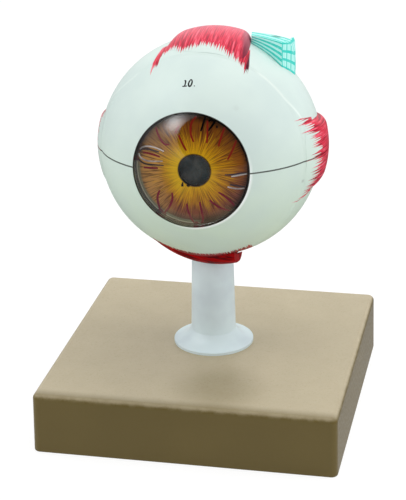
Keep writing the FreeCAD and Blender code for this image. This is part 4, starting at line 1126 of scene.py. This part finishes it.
class BuildStudio(bpy.types.Operator):
    """Set the white floor, the softboxes, the even light and the camera"""

    bl_idname = "eye_model.studio"
    bl_label = "Studio"

    # Name, place and side of each softbox, in metres
    SOFTBOXES = (
        ("top", (0.35, 0.35, 1.35), 1.1), ("side", (-1.1, -0.2, 0.7), 1), ("right", (1.15, -0.1, 0.6), 0.8),
    )
    # Directions seen from the model: a round dark gap in what a gloss mirrors, and the softbox in it
    DARK_GAP = (0.122, -0.688, 0.715)
    MIRRORED_BOX = (-0.535, -0.265, 0.802)

    def execute(self, context):
        scene = context.scene
        look = scene.eye_studio
        scene.view_settings.view_transform = "Standard"
        self.lay_floor()
        self.light_world(scene, look)
        for side, place, size in self.SOFTBOXES:
            self.hang_softbox(f"{side}_softbox", place, size, getattr(look, f"{side}_power"))
        self.set_camera(scene, look)
        return {"FINISHED"}

    def sort_rays(self, tree):
        """1 for rays that see the room straight or through glass, and 1 for rays that a gloss mirrors."""
        rays = add(tree, "ShaderNodeLightPath")
        first = calc("LESS_THAN", rays["Diffuse Depth"], 0.5)
        mirrored = times(first, calc("GREATER_THAN", rays["Glossy Depth"], 0.5))
        direct = highest(rays["Is Camera Ray"], rays["Is Transmission Ray"])
        return times(direct, minus(first, mirrored)), mirrored

    def lay_floor(self):
        """A plain floor, white with the model's shadow where it is seen, and bright nearby in a gloss."""
        deselect()
        bpy.ops.mesh.primitive_plane_add(size=8, location=(0, 0, 0))
        floor = bpy.context.active_object
        floor.name = "floor"
        material = bpy.data.materials.new("white_floor")
        tree = cleared(material)
        matt, pale = (add(tree, "ShaderNodeBsdfDiffuse", {"Color": (level,) * 3})[0] for level in (0.8, 0.2))
        glow = add(tree, "ShaderNodeEmission", {"Color": WHITE, "Strength": 0.86})[0]
        direct, mirrored = self.sort_rays(tree)
        seen = shade(direct, matt, join("ShaderNodeAddShader", {0: pale, 1: glow})[0])
        away = add(tree, "ShaderNodeLightPath")["Ray Length"]
        near = join("ShaderNodeEmission", {"Strength": span(away, 0.1, 0.16, 0.8, 0.2)})[0]
        join("ShaderNodeOutputMaterial", {"Surface": shade(mirrored, seen, near)})
        floor.data.materials.append(material)

    def light_world(self, scene, look):
        """White where it is seen, even where it lights, and a room with one softbox where it mirrors."""
        scene.world = bpy.data.worlds.new("white_room")
        tree = cleared(scene.world)
        way = add(tree, "ShaderNodeTexCoord")["Generated"]
        right, behind, above = split(way)
        walls = highest(span(behind, 0.5, 0.95, 0, 0.9), span(right, 0.3, -0.3, 0.03, 0.22))
        outside = span(dot(way, self.DARK_GAP), 0.843, 0.819)
        facing = highest(dot(way, self.MIRRORED_BOX), 0)
        glare = plus(calc("POWER", facing, 48), 1.35, 0.08)
        window = times(glare, span(above, 0.1, 0.35), span(right, 0.1, -0.2))
        room = times(plus(window, look.window, walls), outside)
        direct, mirrored = self.sort_rays(tree)
        level = choose(direct, choose(mirrored, look.ambient, room), 1)
        back = join("ShaderNodeBackground", {"Color": WHITE, "Strength": level})[0]
        join("ShaderNodeOutputWorld", {"Surface": back})

    def hang_softbox(self, name, place, size, power):
        """Adds a square lamp that points at the globe and shows in no gloss or glass."""
        lamp = bpy.data.lights.new(name, "AREA")
        lamp.size = size
        lamp.energy = power
        thing = bpy.data.objects.new(name, lamp)
        thing.location = place
        thing.rotation_euler = (CENTRE - Vector(place)).to_track_quat("-Z", "Y").to_euler()
        thing.visible_glossy = False
        thing.visible_transmission = False
        bpy.context.collection.objects.link(thing)

    def set_camera(self, scene, look):
        place, aim = Vector(look.camera_place), Vector(look.camera_aim)
        forward = (aim - place).normalized()
        right = forward.cross(Vector((0, 0, 1))).normalized()
        up = right.cross(forward)
        cosine, sine = math.cos(look.camera_roll), math.sin(look.camera_roll)
        turned = Matrix((right * cosine + up * sine, up * cosine - right * sine, -forward))
        data = bpy.data.cameras.new("camera")
        data.lens = look.focal_length
        data.sensor_width = 36
        data.clip_end = 50
        camera = bpy.data.objects.new("camera", data)
        camera.matrix_world = Matrix.Translation(place) @ turned.transposed().to_4x4()
        bpy.context.collection.objects.link(camera)
        scene.camera = camera


class EyeModelPanel(bpy.types.Panel):
    """Lists the steps that dress the model"""

    bl_idname = "VIEW3D_PT_eye_model"
    bl_label = "Eye model"
    bl_space_type = "VIEW_3D"
    bl_region_type = "UI"
    bl_category = "Eye model"

    def draw(self, context):
        column = self.layout.column(align=True)
        for step in STEPS:
            column.operator(step.bl_idname)


LOOKS = {
    "eye_stand": StandLook,
    "eye_shells": ShellLook,
    "eye_iris": IrisLook,
    "eye_muscles": MuscleLook,
    "eye_tendon": TendonLook,
    "eye_inner": InnerLook,
    "eye_studio": StudioLook,
}
STEPS = (
    PaintBase, PaintStand, PaintShells, PaintCornea, PaintIris, PaintLines, WriteNumbers, PaintMuscles,
    PaintTendon, PaintInnerShells, PaintClearCore, PaintNerve, BuildStudio,
)


def register():
    for part in (*LOOKS.values(), *STEPS, EyeModelPanel):
        bpy.utils.register_class(part)
    for name, look in LOOKS.items():
        setattr(bpy.types.Scene, name, bpy.props.PointerProperty(type=look))


def unregister():
    for name in LOOKS:
        delattr(bpy.types.Scene, name)
    for part in (EyeModelPanel, *reversed(STEPS), *reversed(LOOKS.values())):
        bpy.utils.unregister_class(part)


def main():
    """Dresses the model step by step."""
    register()
    for step in STEPS:
        getattr(bpy.ops.eye_model, step.bl_idname.split(".")[1])()
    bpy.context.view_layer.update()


if __name__ == "__main__":
    main()
